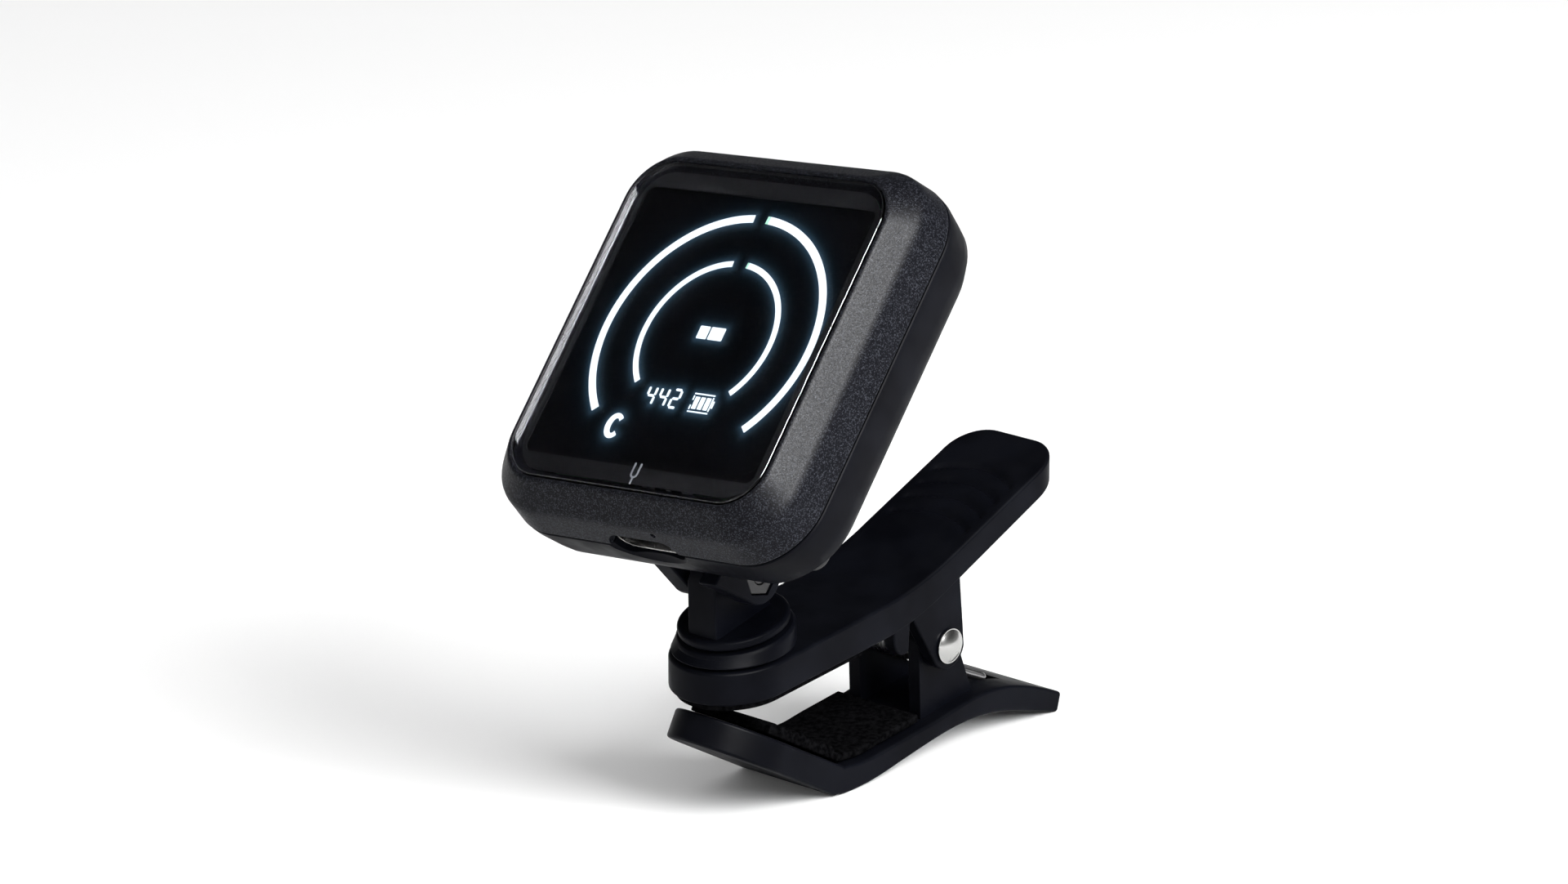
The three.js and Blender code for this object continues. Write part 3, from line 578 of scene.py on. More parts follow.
def paint_cad_nodes():
    """Gives every CAD node the material of its slot in the record."""
    for part in frame["record"]["subparts"]:
        node = frame["nodes"][part["node"]]
        node.data.materials.clear()
        node.data.materials.append(looks[part["material_slot"]])


paint_cad_nodes()

# ---------------------------------------------------------------- head

SCREW_PLACES = [(sx * CASE_SCREW["x"], sz * CASE_SCREW["z"]) for sx, sz in CORNERS]
BUTTON_PLACES = {"up": -BUTTONS["pitch"], "power": 0.0, "down": BUTTONS["pitch"]}
BACK = {"x": 17.4, "z": 18.8, "r": 6.0}
SHOULDER = {"x": 19.4, "z": 20.8, "r": 7.0}
SIDE = {"x": 20.7, "z": 22.1, "r": 7.4}
CAVITY = {"x": 19.3, "z": 20.7, "r": 6.2}
CAVITY_FLOOR = {"x": 17.6, "z": 19.0, "r": 5.4}
SCOOP = {"half": 5.6, "thick": 3.4, "depth": 1.3, "sink": 0.25}


def usb_outline(grow):
    """Rounded slot round the socket in the (x, depth) plane."""
    half, thick = USB["half"] + grow, USB["thick"] / 2 + grow
    return [(a + USB["x"], b + USB["depth"]) for a, b in rounded(half, thick, thick - 0.05, 10)]


def usb_way():
    """Space for the socket, cut out of both shells."""
    return prism("way", usb_outline(0.4), -PARTING["z"] - 1, -PARTING["z"] + USB["length"] + 2, "z")


def usb_scoop():
    """Thumb-shaped dip that leads a plug to the socket."""
    rings = []
    bands = 24
    for i in range(1, bands):
        angle = math.pi * i / bands
        half, thick = SCOOP["half"] * math.sin(angle), SCOOP["thick"] * math.sin(angle)
        level = SCOOP["depth"] * -math.cos(angle) - PARTING["z"] - SCOOP["sink"]
        rings.append([(half * a + USB["x"], thick * b + USB["depth"], level) for a, b in circle(1)])
    return stack("scoop", rings)


def front_bezel():
    """Front half of the head's case, open for the lens, with the chamfer all round."""
    ledge = LENS["thick"] + GAP
    crest, parting = CHAMFER["depth"], PARTING["depth"]
    sections = [
        section(LENS, 0.12, -0.38),
        section(LENS, 0.16, -0.55),
        section(LENS, 0.36, -0.82),
        section(CHAMFER, crest - 0.75, 0.5),
        section(CHAMFER, crest - 0.35, 0.16),
        section(CHAMFER, crest + 0.1, 0.0),
        section(CHAMFER, crest + 0.7, -0.1),
        section(PARTING, parting - 0.35, 0.02),
        section(PARTING, parting - 0.16, 0.06),
        section(PARTING, parting - 0.1, 0.16),
        section(PARTING, parting - 0.1, WALL),
        section(CHAMFER, crest + 0.4, WALL + 0.2),
        section(LENS, LENS["thick"] + 1.1, 0.9),
        section(LENS, ledge, 0.9),
        section(LENS, ledge, -0.15),
        section(LENS, 0.2, -0.15),
        section(LENS, 0.12, -0.22),
    ]
    shell = stack("front_bezel_shell", sections, closed=True)
    hole_place = (PIN_HOLE["x"], PIN_HOLE["depth"])
    hole = rod("hole", PIN_HOLE["radius"], -CHAMFER["z"] - 1, -CHAMFER["z"] + 3, "z", hole_place, 24)
    cut(shell, usb_way(), hole)
    settle(shell, FACE, "head", "sparkle_plastic", "front_bezel", sharp=24)


def cover_lens():
    lens = stack("cover_lens_glass", [
        section(LENS, 0.0, 0.3),
        section(LENS, 0.03, 0.12),
        section(LENS, 0.12, 0.03),
        section(LENS, 0.3, 0.0),
        section(LENS, LENS["thick"], 0.0),
    ])
    settle(lens, FACE, "head", "smoked_lens", "cover_lens", sharp=50)


def hinge_ear(side):
    """One hinge ear, with the foot that grows out of the shell's back."""
    y, z = HINGE_IN_FACE
    start, end = (EAR["inner"], EAR["outer"]) if side > 0 else (-EAR["outer"], -EAR["inner"])
    root = EAR["nut_root"] if side > 0 else EAR["head_root"]
    outline = circle(EAR["radius"], (y, z), 32, -math.pi / 2, math.pi / 2)
    outline += [(HEAD_DEPTH - 1, z + 7.4), (HEAD_DEPTH - 1, z - root)]
    return bevel(prism("ear", outline, start, end), 0.28)


def rear_shell_ways():
    """Spaces cut out of the rear shell for the socket, screws, buttons and hinge fasteners."""
    reach = HEAD_DEPTH + 1
    ear = EAR["outer"]
    screw_seat = HEAD_DEPTH - CASE_SCREW["head_depth"] - 0.2
    ways = [usb_way(), usb_scoop()]
    for place in SCREW_PLACES:
        ways.append(rod("way", CASE_SCREW["head"] + SLIP, screw_seat, reach, "y", place))
    for x in BUTTON_PLACES.values():
        place = (x, BUTTONS["z"])
        ways.append(rod("way", BUTTONS["radius"] + SLIP, HEAD_DEPTH - WALL - 1, reach, "y", place, 64))
    ways.append(rod("way", SCREW_RADIUS + SLIP, -ear - 1, ear + 1, "x", HINGE_IN_FACE))
    ways.append(rod("way", 2.1, -ear - 1, -ear + 1.5, "x", HINGE_IN_FACE))
    nut_pocket = hexagon(NUT["flats"] + 0.3, HINGE_IN_FACE)
    ways.append(prism("way", nut_pocket, ear - NUT["thick"], ear + 1))
    return ways


def rear_shell():
    """Back half of the head's case with the two hinge ears."""
    front = PARTING["depth"] + 0.1
    floor = HEAD_DEPTH - WALL
    shell = stack("rear_shell_body", [
        section(BACK, HEAD_DEPTH, 8.0),
        section(BACK, HEAD_DEPTH, 0.8),
        section(BACK, HEAD_DEPTH - 0.08, 0.0),
        section(BACK, HEAD_DEPTH - 0.3, -0.9),
        section(SHOULDER, HEAD_DEPTH - 0.75, 0.0),
        section(SHOULDER, HEAD_DEPTH - 1.5, -0.75),
        section(SIDE, HEAD_DEPTH - 2.5, 0.0),
        section(SIDE, HEAD_DEPTH - 3.8, -0.32),
        section(PARTING, front + 1.0, 0.08),
        section(PARTING, front + 0.12, 0.03),
        section(PARTING, front, 0.12),
        section(PARTING, front, WALL),
        section(CAVITY, HEAD_DEPTH - 3),
        section(CAVITY_FLOOR, floor),
        section(CAVITY_FLOOR, floor, 8.0),
    ])
    join(shell, hinge_ear(1), hinge_ear(-1))
    cut(shell, *rear_shell_ways())
    settle(shell, FACE, "head", "satin_plastic", "rear_shell", sharp=28)


def hexagon(flats, centre=(0, 0)):
    """Outline of a nut from its width across flats."""
    return [round_point(centre, flats / math.sqrt(3), (i + 0.5) * math.pi / 3) for i in range(6)]


def buttons():
    """Three round caps, slightly dished, with rounded rims."""
    radius, rim = BUTTONS["radius"], 0.35
    top = HEAD_DEPTH + BUTTONS["proud"]
    profile = [(radius, HEAD_DEPTH - WALL - GAP - 0.1), (radius, top - rim)]
    profile += fillet_arc((radius - rim, top - rim), rim, 0, 90)
    profile += [(2.0, top - 0.06), (1.0, top - 0.12)]
    for name, x in BUTTON_PLACES.items():
        rings = [[(x + a, depth, BUTTONS["z"] + b) for a, b in circle(r)] for r, depth in profile]
        cap = stack(f"{name}_button_cap", rings)
        cut(cap, *button_mark(name, x, top))
        settle(cap, FACE, f"{name}_key", "button_rubber", f"{name}_button")


def button_mark(name, x, top):
    """Moulded sign on a key: an arrow each way, or a ring with a stroke for power."""
    z = BUTTONS["z"]
    low, high = top - 0.25, top + 1
    if name == "power":
        profile = ((1.25, low), (1.25, high), (1.0, high), (1.0, low))
        rings = [[(a, depth, b) for a, b in circle(r, (x, z), 48)] for r, depth in profile]
        stroke = [(x - 0.13, z + 0.3), (x + 0.13, z + 0.3), (x + 0.13, z + 1.7), (x - 0.13, z + 1.7)]
        return [stack("mark", rings, closed=True), prism("mark", stroke, low, high, "y")]
    point = 1 if name == "up" else -1
    arrow = [(x - 1, z - 0.5 * point), (x + 1, z - 0.5 * point), (x, z + 0.9 * point)]
    return [prism("mark", arrow, low, high, "y")]


def case_screws():
    """Recessed heads with a cross slot near the case's four corners."""
    radius, rim, top = CASE_SCREW["head"], 0.2, HEAD_DEPTH - 0.15
    long, short = CASE_SCREW["cross"]
    profile = [(radius, top - 0.9), (radius, top - rim)]
    profile += fillet_arc((radius - rim, top - rim), rim, 0, 90, 3)
    for number, (x, z) in enumerate(SCREW_PLACES, 1):
        rings = [[(x + r * a, depth, z + r * b) for a, b in circle(1)] for r, depth in profile]
        screw = stack(f"case_screw_head_{number}", rings)
        for a, b in ((long, short), (short, long)):
            outline = [(x + sx * a, z + sz * b) for sx, sz in CORNERS]
            cut(screw, prism("slot", outline, top - 0.45, top + 1, "y"))
        settle(screw, FACE, "head", "dark_steel", f"case_screw_{number}")


def usb_socket():
    """Metal shell of the USB-C socket and the tongue inside it."""
    end = -PARTING["z"] + 0.9
    back = end + USB["length"]
    tube = prism("usb_socket_shell", usb_outline(0), end, back, "z")
    cut(tube, prism("mouth", usb_outline(-0.3), end - 1, back - 0.8, "z"))
    settle(bevel(tube, 0.06, segments=2), FACE, "head", "polished_steel", "usb_c_shell")
    outline = [(USB["x"] + a, USB["depth"] + b) for a, b in rounded(3.3, 0.35, 0.12, 4)]
    tongue = prism("usb_socket_tongue", outline, end + 0.7, back - 1.1, "z")
    settle(tongue, FACE, "head", "chip_black", "usb_c_tongue")


# ---------------------------------------------------------------- display

RING_CENTRE = (0.0, 0.27)
DISPLAY_SHIFT = (1.1, -0.72)
SEGMENT = {"front": 1.49, "back": 1.54}
RINGS = (
    {"radius": 14.4, "half": 0.45, "start": 4.4, "end": 133},
    {"radius": 8.9, "half": 0.34, "start": 7.2, "end": 132.4},
)


def ring_segment(radius, half, start, end, steps=60):
    """Arc of a ring; angles are in degrees from the top, clockwise."""
    angles = [math.radians(90 - (start + (end - start) * i / steps)) for i in range(steps + 1)]
    outer = [round_point(RING_CENTRE, radius + half, angle) for angle in angles]
    inner = [round_point(RING_CENTRE, radius - half, angle) for angle in angles]
    return outer + inner[::-1]


def box_segment(x, z, half_x, half_z, r=0.08):
    return [(x + a, z + b) for a, b in rounded(half_x, half_z, r, 4)]


def bar_segment(start, end, half):
    """A stroke with round ends."""
    direction = math.atan2(end[1] - start[1], end[0] - start[0])
    side = math.pi / 2
    points = circle(half, end, 8, direction - side, direction + side)
    return points + circle(half, start, 8, direction + side, direction + 3 * side)


def digit_segments(digit, x, z, width=1.0, height=2.1, half=0.14):
    """Strokes of a seven-segment digit whose lower left corner is at (x, z)."""
    gap = 0.22
    middle, top, right = z + height / 2, z + height, x + width
    strokes = {
        "a": ((x + gap, top), (right - gap, top)),
        "b": ((right, top - gap), (right, middle + gap)),
        "c": ((right, middle - gap), (right, z + gap)),
        "d": ((x + gap, z), (right - gap, z)),
        "e": ((x, middle - gap), (x, z + gap)),
        "f": ((x, top - gap), (x, middle + gap)),
        "g": ((x + gap, middle), (right - gap, middle)),
    }
    lit = {"4": "fgbc", "2": "abged"}[digit]
    return [bar_segment(*strokes[stroke], half) for stroke in lit]


def note_letter(x, z):
    """The letter C as one bold stroke, half sizes 1 by 1.5."""
    outer, inner = [], []
    for i in range(41):
        angle = math.radians(42 + (318 - 42) * i / 40)
        outer.append((x + 1.15 * math.cos(angle), z + 1.5 * math.sin(angle)))
        inner.append((x + 0.5 * math.cos(angle) + 0.08, z + 0.9 * math.sin(angle)))
    return outer + inner[::-1]


def battery_segments(x, z):
    """Outline, contact nub and three bars of a charge sign."""
    half_x, half_z, line = 1.36, 1.06, 0.075
    frame_bars = [
        bar_segment((x - half_x, z + half_z), (x + half_x, z + half_z), line),
        bar_segment((x - half_x, z - half_z), (x + half_x, z - half_z), line),
        bar_segment((x + half_x, z - half_z + 0.3), (x + half_x, z + half_z - 0.3), line),
        bar_segment((x - half_x, z + half_z - 0.3), (x - half_x, z + 0.35), line),
        bar_segment((x - half_x, z - half_z + 0.3), (x - half_x, z - 0.35), line),
    ]
    nub = box_segment(x + half_x + 0.26, z, 0.09, 0.42, 0.04)
    cells = [box_segment(x + (i - 1) * 0.8, z, 0.29, 0.72, 0.03) for i in range(3)]
    return frame_bars + [nub] + cells


def fork_segments(x, z):
    """Small generic tuning fork below the display."""
    half, bend, reach = 0.11, 0.42, 1.15
    arc = circle(bend, (x, z), 16, math.pi, 2 * math.pi)
    prongs = [bar_segment((x + side * bend, z), (x + side * bend, z + reach), half) for side in (-1, 1)]
    bow = [bar_segment(a, b, half) for a, b in zip(arc[::2], arc[2::2])]
    stem = [bar_segment((x, z - bend), (x, z - reach), half)]
    return prongs + bow + stem


def lit_outlines():
    """Everything that glows on the display, apart from the rings' green tips."""
    outlines = []
    for ring in RINGS:
        radius, half, start, end = ring["radius"], ring["half"], ring["start"], ring["end"]
        outlines.append(ring_segment(radius, half, start, end))
        outlines.append(ring_segment(radius, half, -end, -start))
    outlines.append(box_segment(-0.75, 0.8, 0.68, 0.75))
    outlines.append(box_segment(1.15, 0.8, 0.98, 0.75))
    for place, digit in enumerate("442"):
        outlines += digit_segments(digit, -4.32 + 1.75 * place, -8.22)
    outlines += battery_segments(3.45, -7.3)
    outlines.append(note_letter(-6.9, -11.2))
    return shifted(outlines)


def shifted(outlines):
    """Outlines moved so that they look in place through the lens from the scene camera."""
    dx, dz = DISPLAY_SHIFT
    return [[(x + dx, z + dz) for x, z in outline] for outline in outlines]


def thin_plates(name, outlines, front, back):
    """Thin plates for a list of (x, z) outlines, as one object."""
    vertices, faces = [], []
    for outline in outlines:
        start, count = len(vertices), len(outline)
        vertices += [(a, depth, b) for depth in (front, back) for a, b in outline]
        faces += [tuple(start + i for i in face) for face in band_faces(2, count)]
        faces += [tuple(range(start, start + count)), tuple(range(start + count, start + 2 * count))]
    mesh = bpy.data.meshes.new(name)
    mesh.from_pydata(vertices, [], faces)
    return linked(name, mesh)


def display():
    """Panel, lit segments, printed border and the fork sign, all behind the lens."""
    outlines = lit_outlines()
    segments = thin_plates("display_segments", outlines, SEGMENT["front"], SEGMENT["back"])
    settle(segments, FACE, "head", "light_guide", look=segment_light)
    tips = []
    for ring in RINGS:
        tips.append(ring_segment(ring["radius"], ring["half"], ring["start"] - 1.6, ring["start"] - 0.1, 6))
    green = thin_plates("display_tips", shifted(tips), SEGMENT["front"], SEGMENT["back"])
    settle(green, FACE, "head", "light_guide", look=segment_green)
    behind_lens = LENS["thick"] + 0.03
    fork = thin_plates("fork_mark", fork_segments(0.3, -17.1), behind_lens, behind_lens + 0.05)
    settle(fork, FACE, "head", "light_guide")
    settle(lcd_panel(outlines), FACE, "head", "display_black", "lcd_panel")
    settle(lens_print(), FACE, "head", "chip_black")


def lens_print():
    """Black printed border behind the lens, round the display."""
    window = {"x": 16.3, "z": 16.3, "r": 1.0}
    edge = {"x": LENS["x"] - 0.95, "z": LENS["z"] - 0.95, "r": LENS["r"] - 0.9}
    front, back = LENS["thick"] + 0.05, LENS["thick"] + 0.2
    rings = [section(edge, front), section(edge, back), section(window, back), section(window, front)]
    return stack("lens_print_border", rings, closed=True)


def lcd_panel(outlines):
    """Display plate with a fine front grid that carries the halo of the lit segments."""
    steps = 120
    xs = np.linspace(-LCD["x"], LCD["x"], steps + 1)
    zs = np.linspace(-LCD["z"], LCD["z"], steps + 1)
    grid = [(x, LCD["front"], z) for z in zs for x in xs]
    side = steps + 1
    faces = grid_faces(steps, steps)
    edge = list(range(side))
    edge += [row * side + steps for row in range(1, side)]
    edge += [steps * side + column for column in range(steps - 1, -1, -1)]
    edge += [row * side for row in range(steps - 1, 0, -1)]
    start = len(grid)
    back = [(grid[i][0], LCD["back"], grid[i][2]) for i in edge]
    count = len(edge)
    faces += [(edge[i], edge[(i + 1) % count], start + (i + 1) % count, start + i) for i in range(count)]
    faces.append(tuple(range(start, start + count)))
    panel = object_from("lcd_panel_face", grid + back, faces)
    add_halo(panel, outlines)
    return panel


def add_halo(panel, outlines):
    """Writes how strongly each point of the panel's front is lit by the nearest segment."""
    points = np.array([v.co for v in panel.data.vertices], float)[:, (0, 2)]
    strokes = np.array([p for outline in outlines for p in dense(outline)], float)
    nearest = np.full(len(points), 1e9)
    for chunk in np.array_split(strokes, 20):
        gaps = np.linalg.norm(points[:, None, :] - chunk[None, :, :], axis=2)
        nearest = np.minimum(nearest, gaps.min(axis=1))
    halo = np.exp(-nearest / 0.3) * 0.3 + np.exp(-nearest / 1.1) * 0.02
    halo[[v.co.y > LCD["front"] + 0.1 for v in panel.data.vertices]] = 0
    attribute = panel.data.attributes.new("halo", "FLOAT", "POINT")
    attribute.data.foreach_set("value", halo.astype(np.float32))


def dense(outline, spacing=0.3):
    """Points along a closed outline."""
    points = []
    for (ax, az), (bx, bz) in zip(outline, outline[1:] + outline[:1]):
        steps = max(1, int(math.hypot(bx - ax, bz - az) / spacing))
        points += [(ax + (bx - ax) * i / steps, az + (bz - az) * i / steps) for i in range(steps)]
    return points


# ---------------------------------------------------------------- hinge fasteners and swivel


def hinge_fasteners():
    """Slotted screw through both ears and its hex nut."""
    outer = EAR["outer"]
    screw = rod("hinge_screw_body", 1.85, -outer + 0.3, -outer + 1.3)
    join(screw, rod("shaft", SCREW_RADIUS, -outer + 0.9, outer - 0.2))
    bevel(screw, 0.15)
    slot = [(-3, -0.25), (3, -0.25), (3, 0.25), (-3, 0.25)]
    cut(screw, prism("slot", slot, -outer - 1, -outer + 0.8))
    settle(screw, HEAD, "head", "dark_steel", "hinge_screw")
    nut = prism("hinge_nut_body", hexagon(NUT["flats"]), outer - NUT["thick"] + 0.15, outer - 0.15)
    bevel(nut, 0.12)
    cut(nut, rod("bore", SCREW_RADIUS + 0.1, 0, outer + 1))
    settle(nut, HEAD, "head", "dark_steel", "hinge_nut")


def swivel_post():
    """Disc with a shaft below it and a tapering tongue above it that carries the hinge."""
    radius, top, bottom = DISC["radius"], DISC["top"], DISC["bottom"]
    shaft, end = SHAFT["radius"], SHAFT["end"]
    profile = [(0, end), (shaft - 0.15, end), (shaft, end + 0.15), (shaft, bottom), (radius - 0.5, bottom)]
    profile += fillet_arc((radius - 0.4, bottom + 0.4), 0.4, -90, 0)
    profile += fillet_arc((radius - 0.4, top - 0.4), 0.4, 0, 90)
    profile += [(radius - 0.8, top - 0.02), (radius - 1.1, top - 0.12), (0, top - 0.12)]
    disc = lathe("swivel_post_body", profile)
    tongue = prism("tongue", [
        (-5.1, top - 0.6), (3.9, top - 0.6), (3.1, HINGE_HEIGHT),
        *circle(3.1, (0, HINGE_HEIGHT), 20, 0, math.pi * 0.86), (-3.75, HINGE_HEIGHT),
    ], -TONGUE_HALF, TONGUE_HALF)
    join(disc, bevel(tongue, 0.22))
    eye = rod("eye", SCREW_RADIUS + 0.35, -3, 3, "x", (0, HINGE_HEIGHT))
    thread = rod("thread", 0.95, end - 1, end + 3.2, "z")
    cut(disc, eye, thread)
    settle(disc, SWIVEL, "neck", "satin_plastic", "swivel_post")


def swivel_collar():
    """Bearing ring whose foot follows the round nose on the lever's top."""
    def on_lever(radius, lift):
        return [(a, NOSE_Y + b, lever_top(NOSE_Y + b) + lift) for a, b in circle(radius, sides=96)]

    def on_swivel(radius, height):
        return [tuple(SWIVEL_IN_CLAMP @ Vector((a, b, height))) for a, b in circle(radius, sides=96)]

    foot, top, upper = COLLAR["foot"], COLLAR["top"], COLLAR["upper"]
    rings = [on_lever(foot - 0.2, GAP), on_lever(foot - 0.05, GAP + 0.06), on_lever(foot, GAP + 0.2)]
    rim = ((0.02, 0.45), (-0.08, 0.18), (-0.26, 0.03), (-0.5, 0.0), (-1.2, 0.0))
    rings += [on_swivel(top + outward, upper - drop) for outward, drop in rim]
    ring = stack("swivel_collar_ring", rings)
    bore = rod("bore", SHAFT["radius"] + SLIP, -8, 2, "z")
    cut(ring, moved(bore, SWIVEL_IN_CLAMP))
    settle(ring, CLAMP, "clamp_top", "satin_plastic", "swivel_collar")


# ---------------------------------------------------------------- clamp


GROOVES = {"ends": (21.9, 24.4, 26.8, 29.3), "reach": 5.4, "radius": 10.0, "depth": 0.34, "half": 0.42}


def line_top(y):
    """Top of the upper lever's straight front stretch."""
    return 18.78 + y * 0.122


def line_under(y):
    """Underside of the same stretch."""
    return 14.94 + y * 0.11


def upper_curves():
    """Top and underside of the upper lever, as heights along y."""
    top = [(-18, line_top(-18)), (6, line_top(6))]
    top += bezier((6, line_top(6)), (12, 20.1), (18, 22.6)) + [(37.65, 31)]
    under = [(-18, line_under(-18)), (6, line_under(6))]
    under += bezier((6, line_under(6)), (12, 16.2), (18, 19.1)) + [(37.65, 27.9)]
    return height_along(top), height_along(under)


lever_top, lever_under = upper_curves()


def groove_relief(x, y):
    """Four thumb grooves, each an arc that bulges towards the tail."""
    reach, radius, fading = GROOVES["reach"], GROOVES["radius"], 0.35
    if abs(x) > reach + 0.6:
        return 0.0
    bow = math.sqrt(radius ** 2 - x * x) - math.sqrt(radius ** 2 - reach ** 2)
    fade = min(1.0, max(0.0, (reach + fading - abs(x)) / fading))
    depth = sum(math.exp(-(((y - end - bow) / GROOVES["half"]) ** 2)) for end in GROOVES["ends"])
    return -GROOVES["depth"] * fade * depth


def upper_ear(side):
    """Side ear round the pivot and the small hooked tab in front of it."""
    y, z = PIVOT["y"], PIVOT["z"]
    side_face = HALF_WIDTH - 0.03
    start, end = (5.3, side_face) if side > 0 else (-side_face, -5.3)
    ear = [(10.9, 17.9), (y - 2.5, z - 1)]
    ear += circle(2.7, (y, z), 20, math.pi * 1.13, math.pi * 1.93)
    ear += [(19.9, 14.2), (19.2, 21.4), (12.4, 18.6)]
    tab = [(8.4, 17), (8.5, 14.9)]
    tab += bezier((8.5, 14.9), (8.9, 13.2), (10, 13.1), (10.9, 13.4), steps=8) + [(11.2, 17.4)]
    return [bevel(prism("ear", ear, start, end), 0.22), bevel(prism("tab", tab, start, end), 0.22)]


def upright(low, high):
    """Section of a plate whose two faces are heights along y."""
    return lambda s: ((s, low(s)), (s, high(s)))


def upper_lever():
    """Lever that carries the head, with its ears, grooves and the pad's bed."""
    plan = nose_plan(HALF_WIDTH, NOSE_Y, TAIL["y"], spacing=0.3, corner=TAIL["corner"])
    sides = upright(lever_under, lever_top)
    lever = plate("upper_lever_body", plan, sides, 0.35, relief=groove_relief, columns=48)
    join(lever, *upper_ear(1), *upper_ear(-1))
    pocket = prism("pocket", [(11, 8), (11, 17.2), (18, 20.4), (31, 25.9), (31, 8)], -5, 5)
    bed = upright(lambda s: line_under(s) - 2, lambda s: line_under(s) + 1)
    pad_bed = plate("pad_bed", pad_plan(GAP), bed, 0.1, columns=4)
    eye = rod("eye", PIN_RADIUS + SLIP, -9, 9, "x", (PIVOT["y"], PIVOT["z"]))
    shaft_way = moved(rod("way", SHAFT["radius"] + SLIP, -8, 2, "z"), SWIVEL_IN_CLAMP)
    screw_way = moved(rod("way", 3.3, -12, SHAFT["end"] - 0.05, "z"), SWIVEL_IN_CLAMP)
    cut(lever, pocket, pad_bed, eye, shaft_way, screw_way)
    settle(lever, CLAMP, "clamp_top", "cast_lever", "upper_lever", sharp=38)


PAD = {"recess": 0.7, "end": 4.0, "inset": 0.7, "proud": 0.8}


def pad_plan(grow=0.0):
    """Outline of the pad under the nose."""
    return nose_plan(HALF_WIDTH - PAD["inset"] + grow, NOSE_Y, PAD["end"] + grow)


def upper_pad():
    """Rubber pad that stands proud of the nose's underside."""
    sides = upright(lambda s: line_under(s) - PAD["proud"], lambda s: line_under(s) + PAD["recess"])
    pad = plate("upper_jaw_pad_rubber", pad_plan(), sides, 0.25)
    settle(pad, CLAMP, "clamp_top", "jaw_rubber", "upper_jaw_pad")


LOWER_END = 36.2
BEND_RUN = 1.6


def lower_curves():
    """Underside and top of the lower lever behind its bend, as heights along y."""
    under = [(-0.9, 0.3)] + bezier((-0.9, 0.3), (-0.3, 0), (0.6, 0)) + [(1.8, 0)]
    under += bezier((1.8, 0), (5, 0.1), (9, 1)) + bezier((9, 1), (17, 2.6), (22, 4), (30, 1.6), steps=24)
    under += [(35.6, 0), (LOWER_END, 0)]
    top = [(0.4, 3.3)] + bezier((0.4, 3.3), (3, 2.6), (6, 3.1)) + [(16, 4.4)]
    top += bezier((16, 4.4), (24, 5.9), (27, 6.4), (36.8, 2.1), steps=24)
    return height_along(under), height_along(top)


lower_under, lower_top = lower_curves()
SLOPE_SIN, SLOPE_COS = math.sin(LEG_SLOPE), math.cos(LEG_SLOPE)


def lower_section(s):
    """Lower and upper point of the lower lever; s < 0 runs up the front leg."""
    if s < 0:
        low = (LEG["start"] + s * SLOPE_COS, -s * SLOPE_SIN)
        return low, (low[0] + LEG["thick"] * SLOPE_SIN, low[1] + LEG["thick"] * SLOPE_COS)
    lead = float(np.interp(s, (0, 8, 30, LOWER_END), (LEG["thick"] * SLOPE_SIN, 0, 0, 0.6)))
    low_y = float(np.interp(s, (0, BEND_RUN, LOWER_END), (LEG["start"], BEND_RUN, LOWER_END)))
    high_y = s + lead + max(0, 1 - s / BEND_RUN) * LEG["start"]
    return (low_y, lower_under(low_y)), (high_y, lower_top(s + lead))


def lower_ear(side):
    """Inner ear that stands on the lower lever's arch."""
    y, z = PIVOT["y"], PIVOT["z"]
    start, end = (3.55, 5.15) if side > 0 else (-5.15, -3.55)
    outline = [(14.9, 3.9), (23.9, 4.2), (20.4, z + 0.4)] + circle(2.9, (y, z), 24, 0.14, math.pi - 0.1)
    return bevel(prism("ear", outline, start, end), 0.2)


def lower_lever():
    """Lever that stands on the table, with a rising jaw, two ears and the spring's seat."""
    plan = nose_plan(HALF_WIDTH, -LEG["reach"], LOWER_END, spacing=0.4, corner=0.4)
    lever = plate("lower_lever_body", plan, lower_section, 0.35, columns=20)
    join(lever, lower_ear(1), lower_ear(-1))
    eye = rod("eye", PIN_RADIUS + SLIP, -9, 9, "x", (PIVOT["y"], PIVOT["z"]))
    seat = prism("seat", [(26.2, 4.1), (30.2, 4.1), (30.2, 9), (26.2, 9)], -3.4, 3.4)
    below = prism("below", [(-40, -5), (50, -5), (50, 0), (-40, 0)], -20, 20)
    cut(lever, eye, seat, below)
    settle(lever, CLAMP, "clamp_base", "painted_lever", "lower_lever", sharp=38)


RIBS = {"count": 9, "pitch": 1.25, "height": 0.42, "inset": 1.1, "first": -1.6, "thick": 0.9}
LINER = {"end": 13.6, "spacing": 0.12}


def rib_relief(x, s):
    """Cross ribs on the liner's front stretch."""
    start = RIBS["first"] - RIBS["count"] * RIBS["pitch"]
    if not start < s < RIBS["first"]:
        return 0.0
    return RIBS["height"] * abs(math.sin(math.pi * (s - RIBS["first"]) / RIBS["pitch"]))


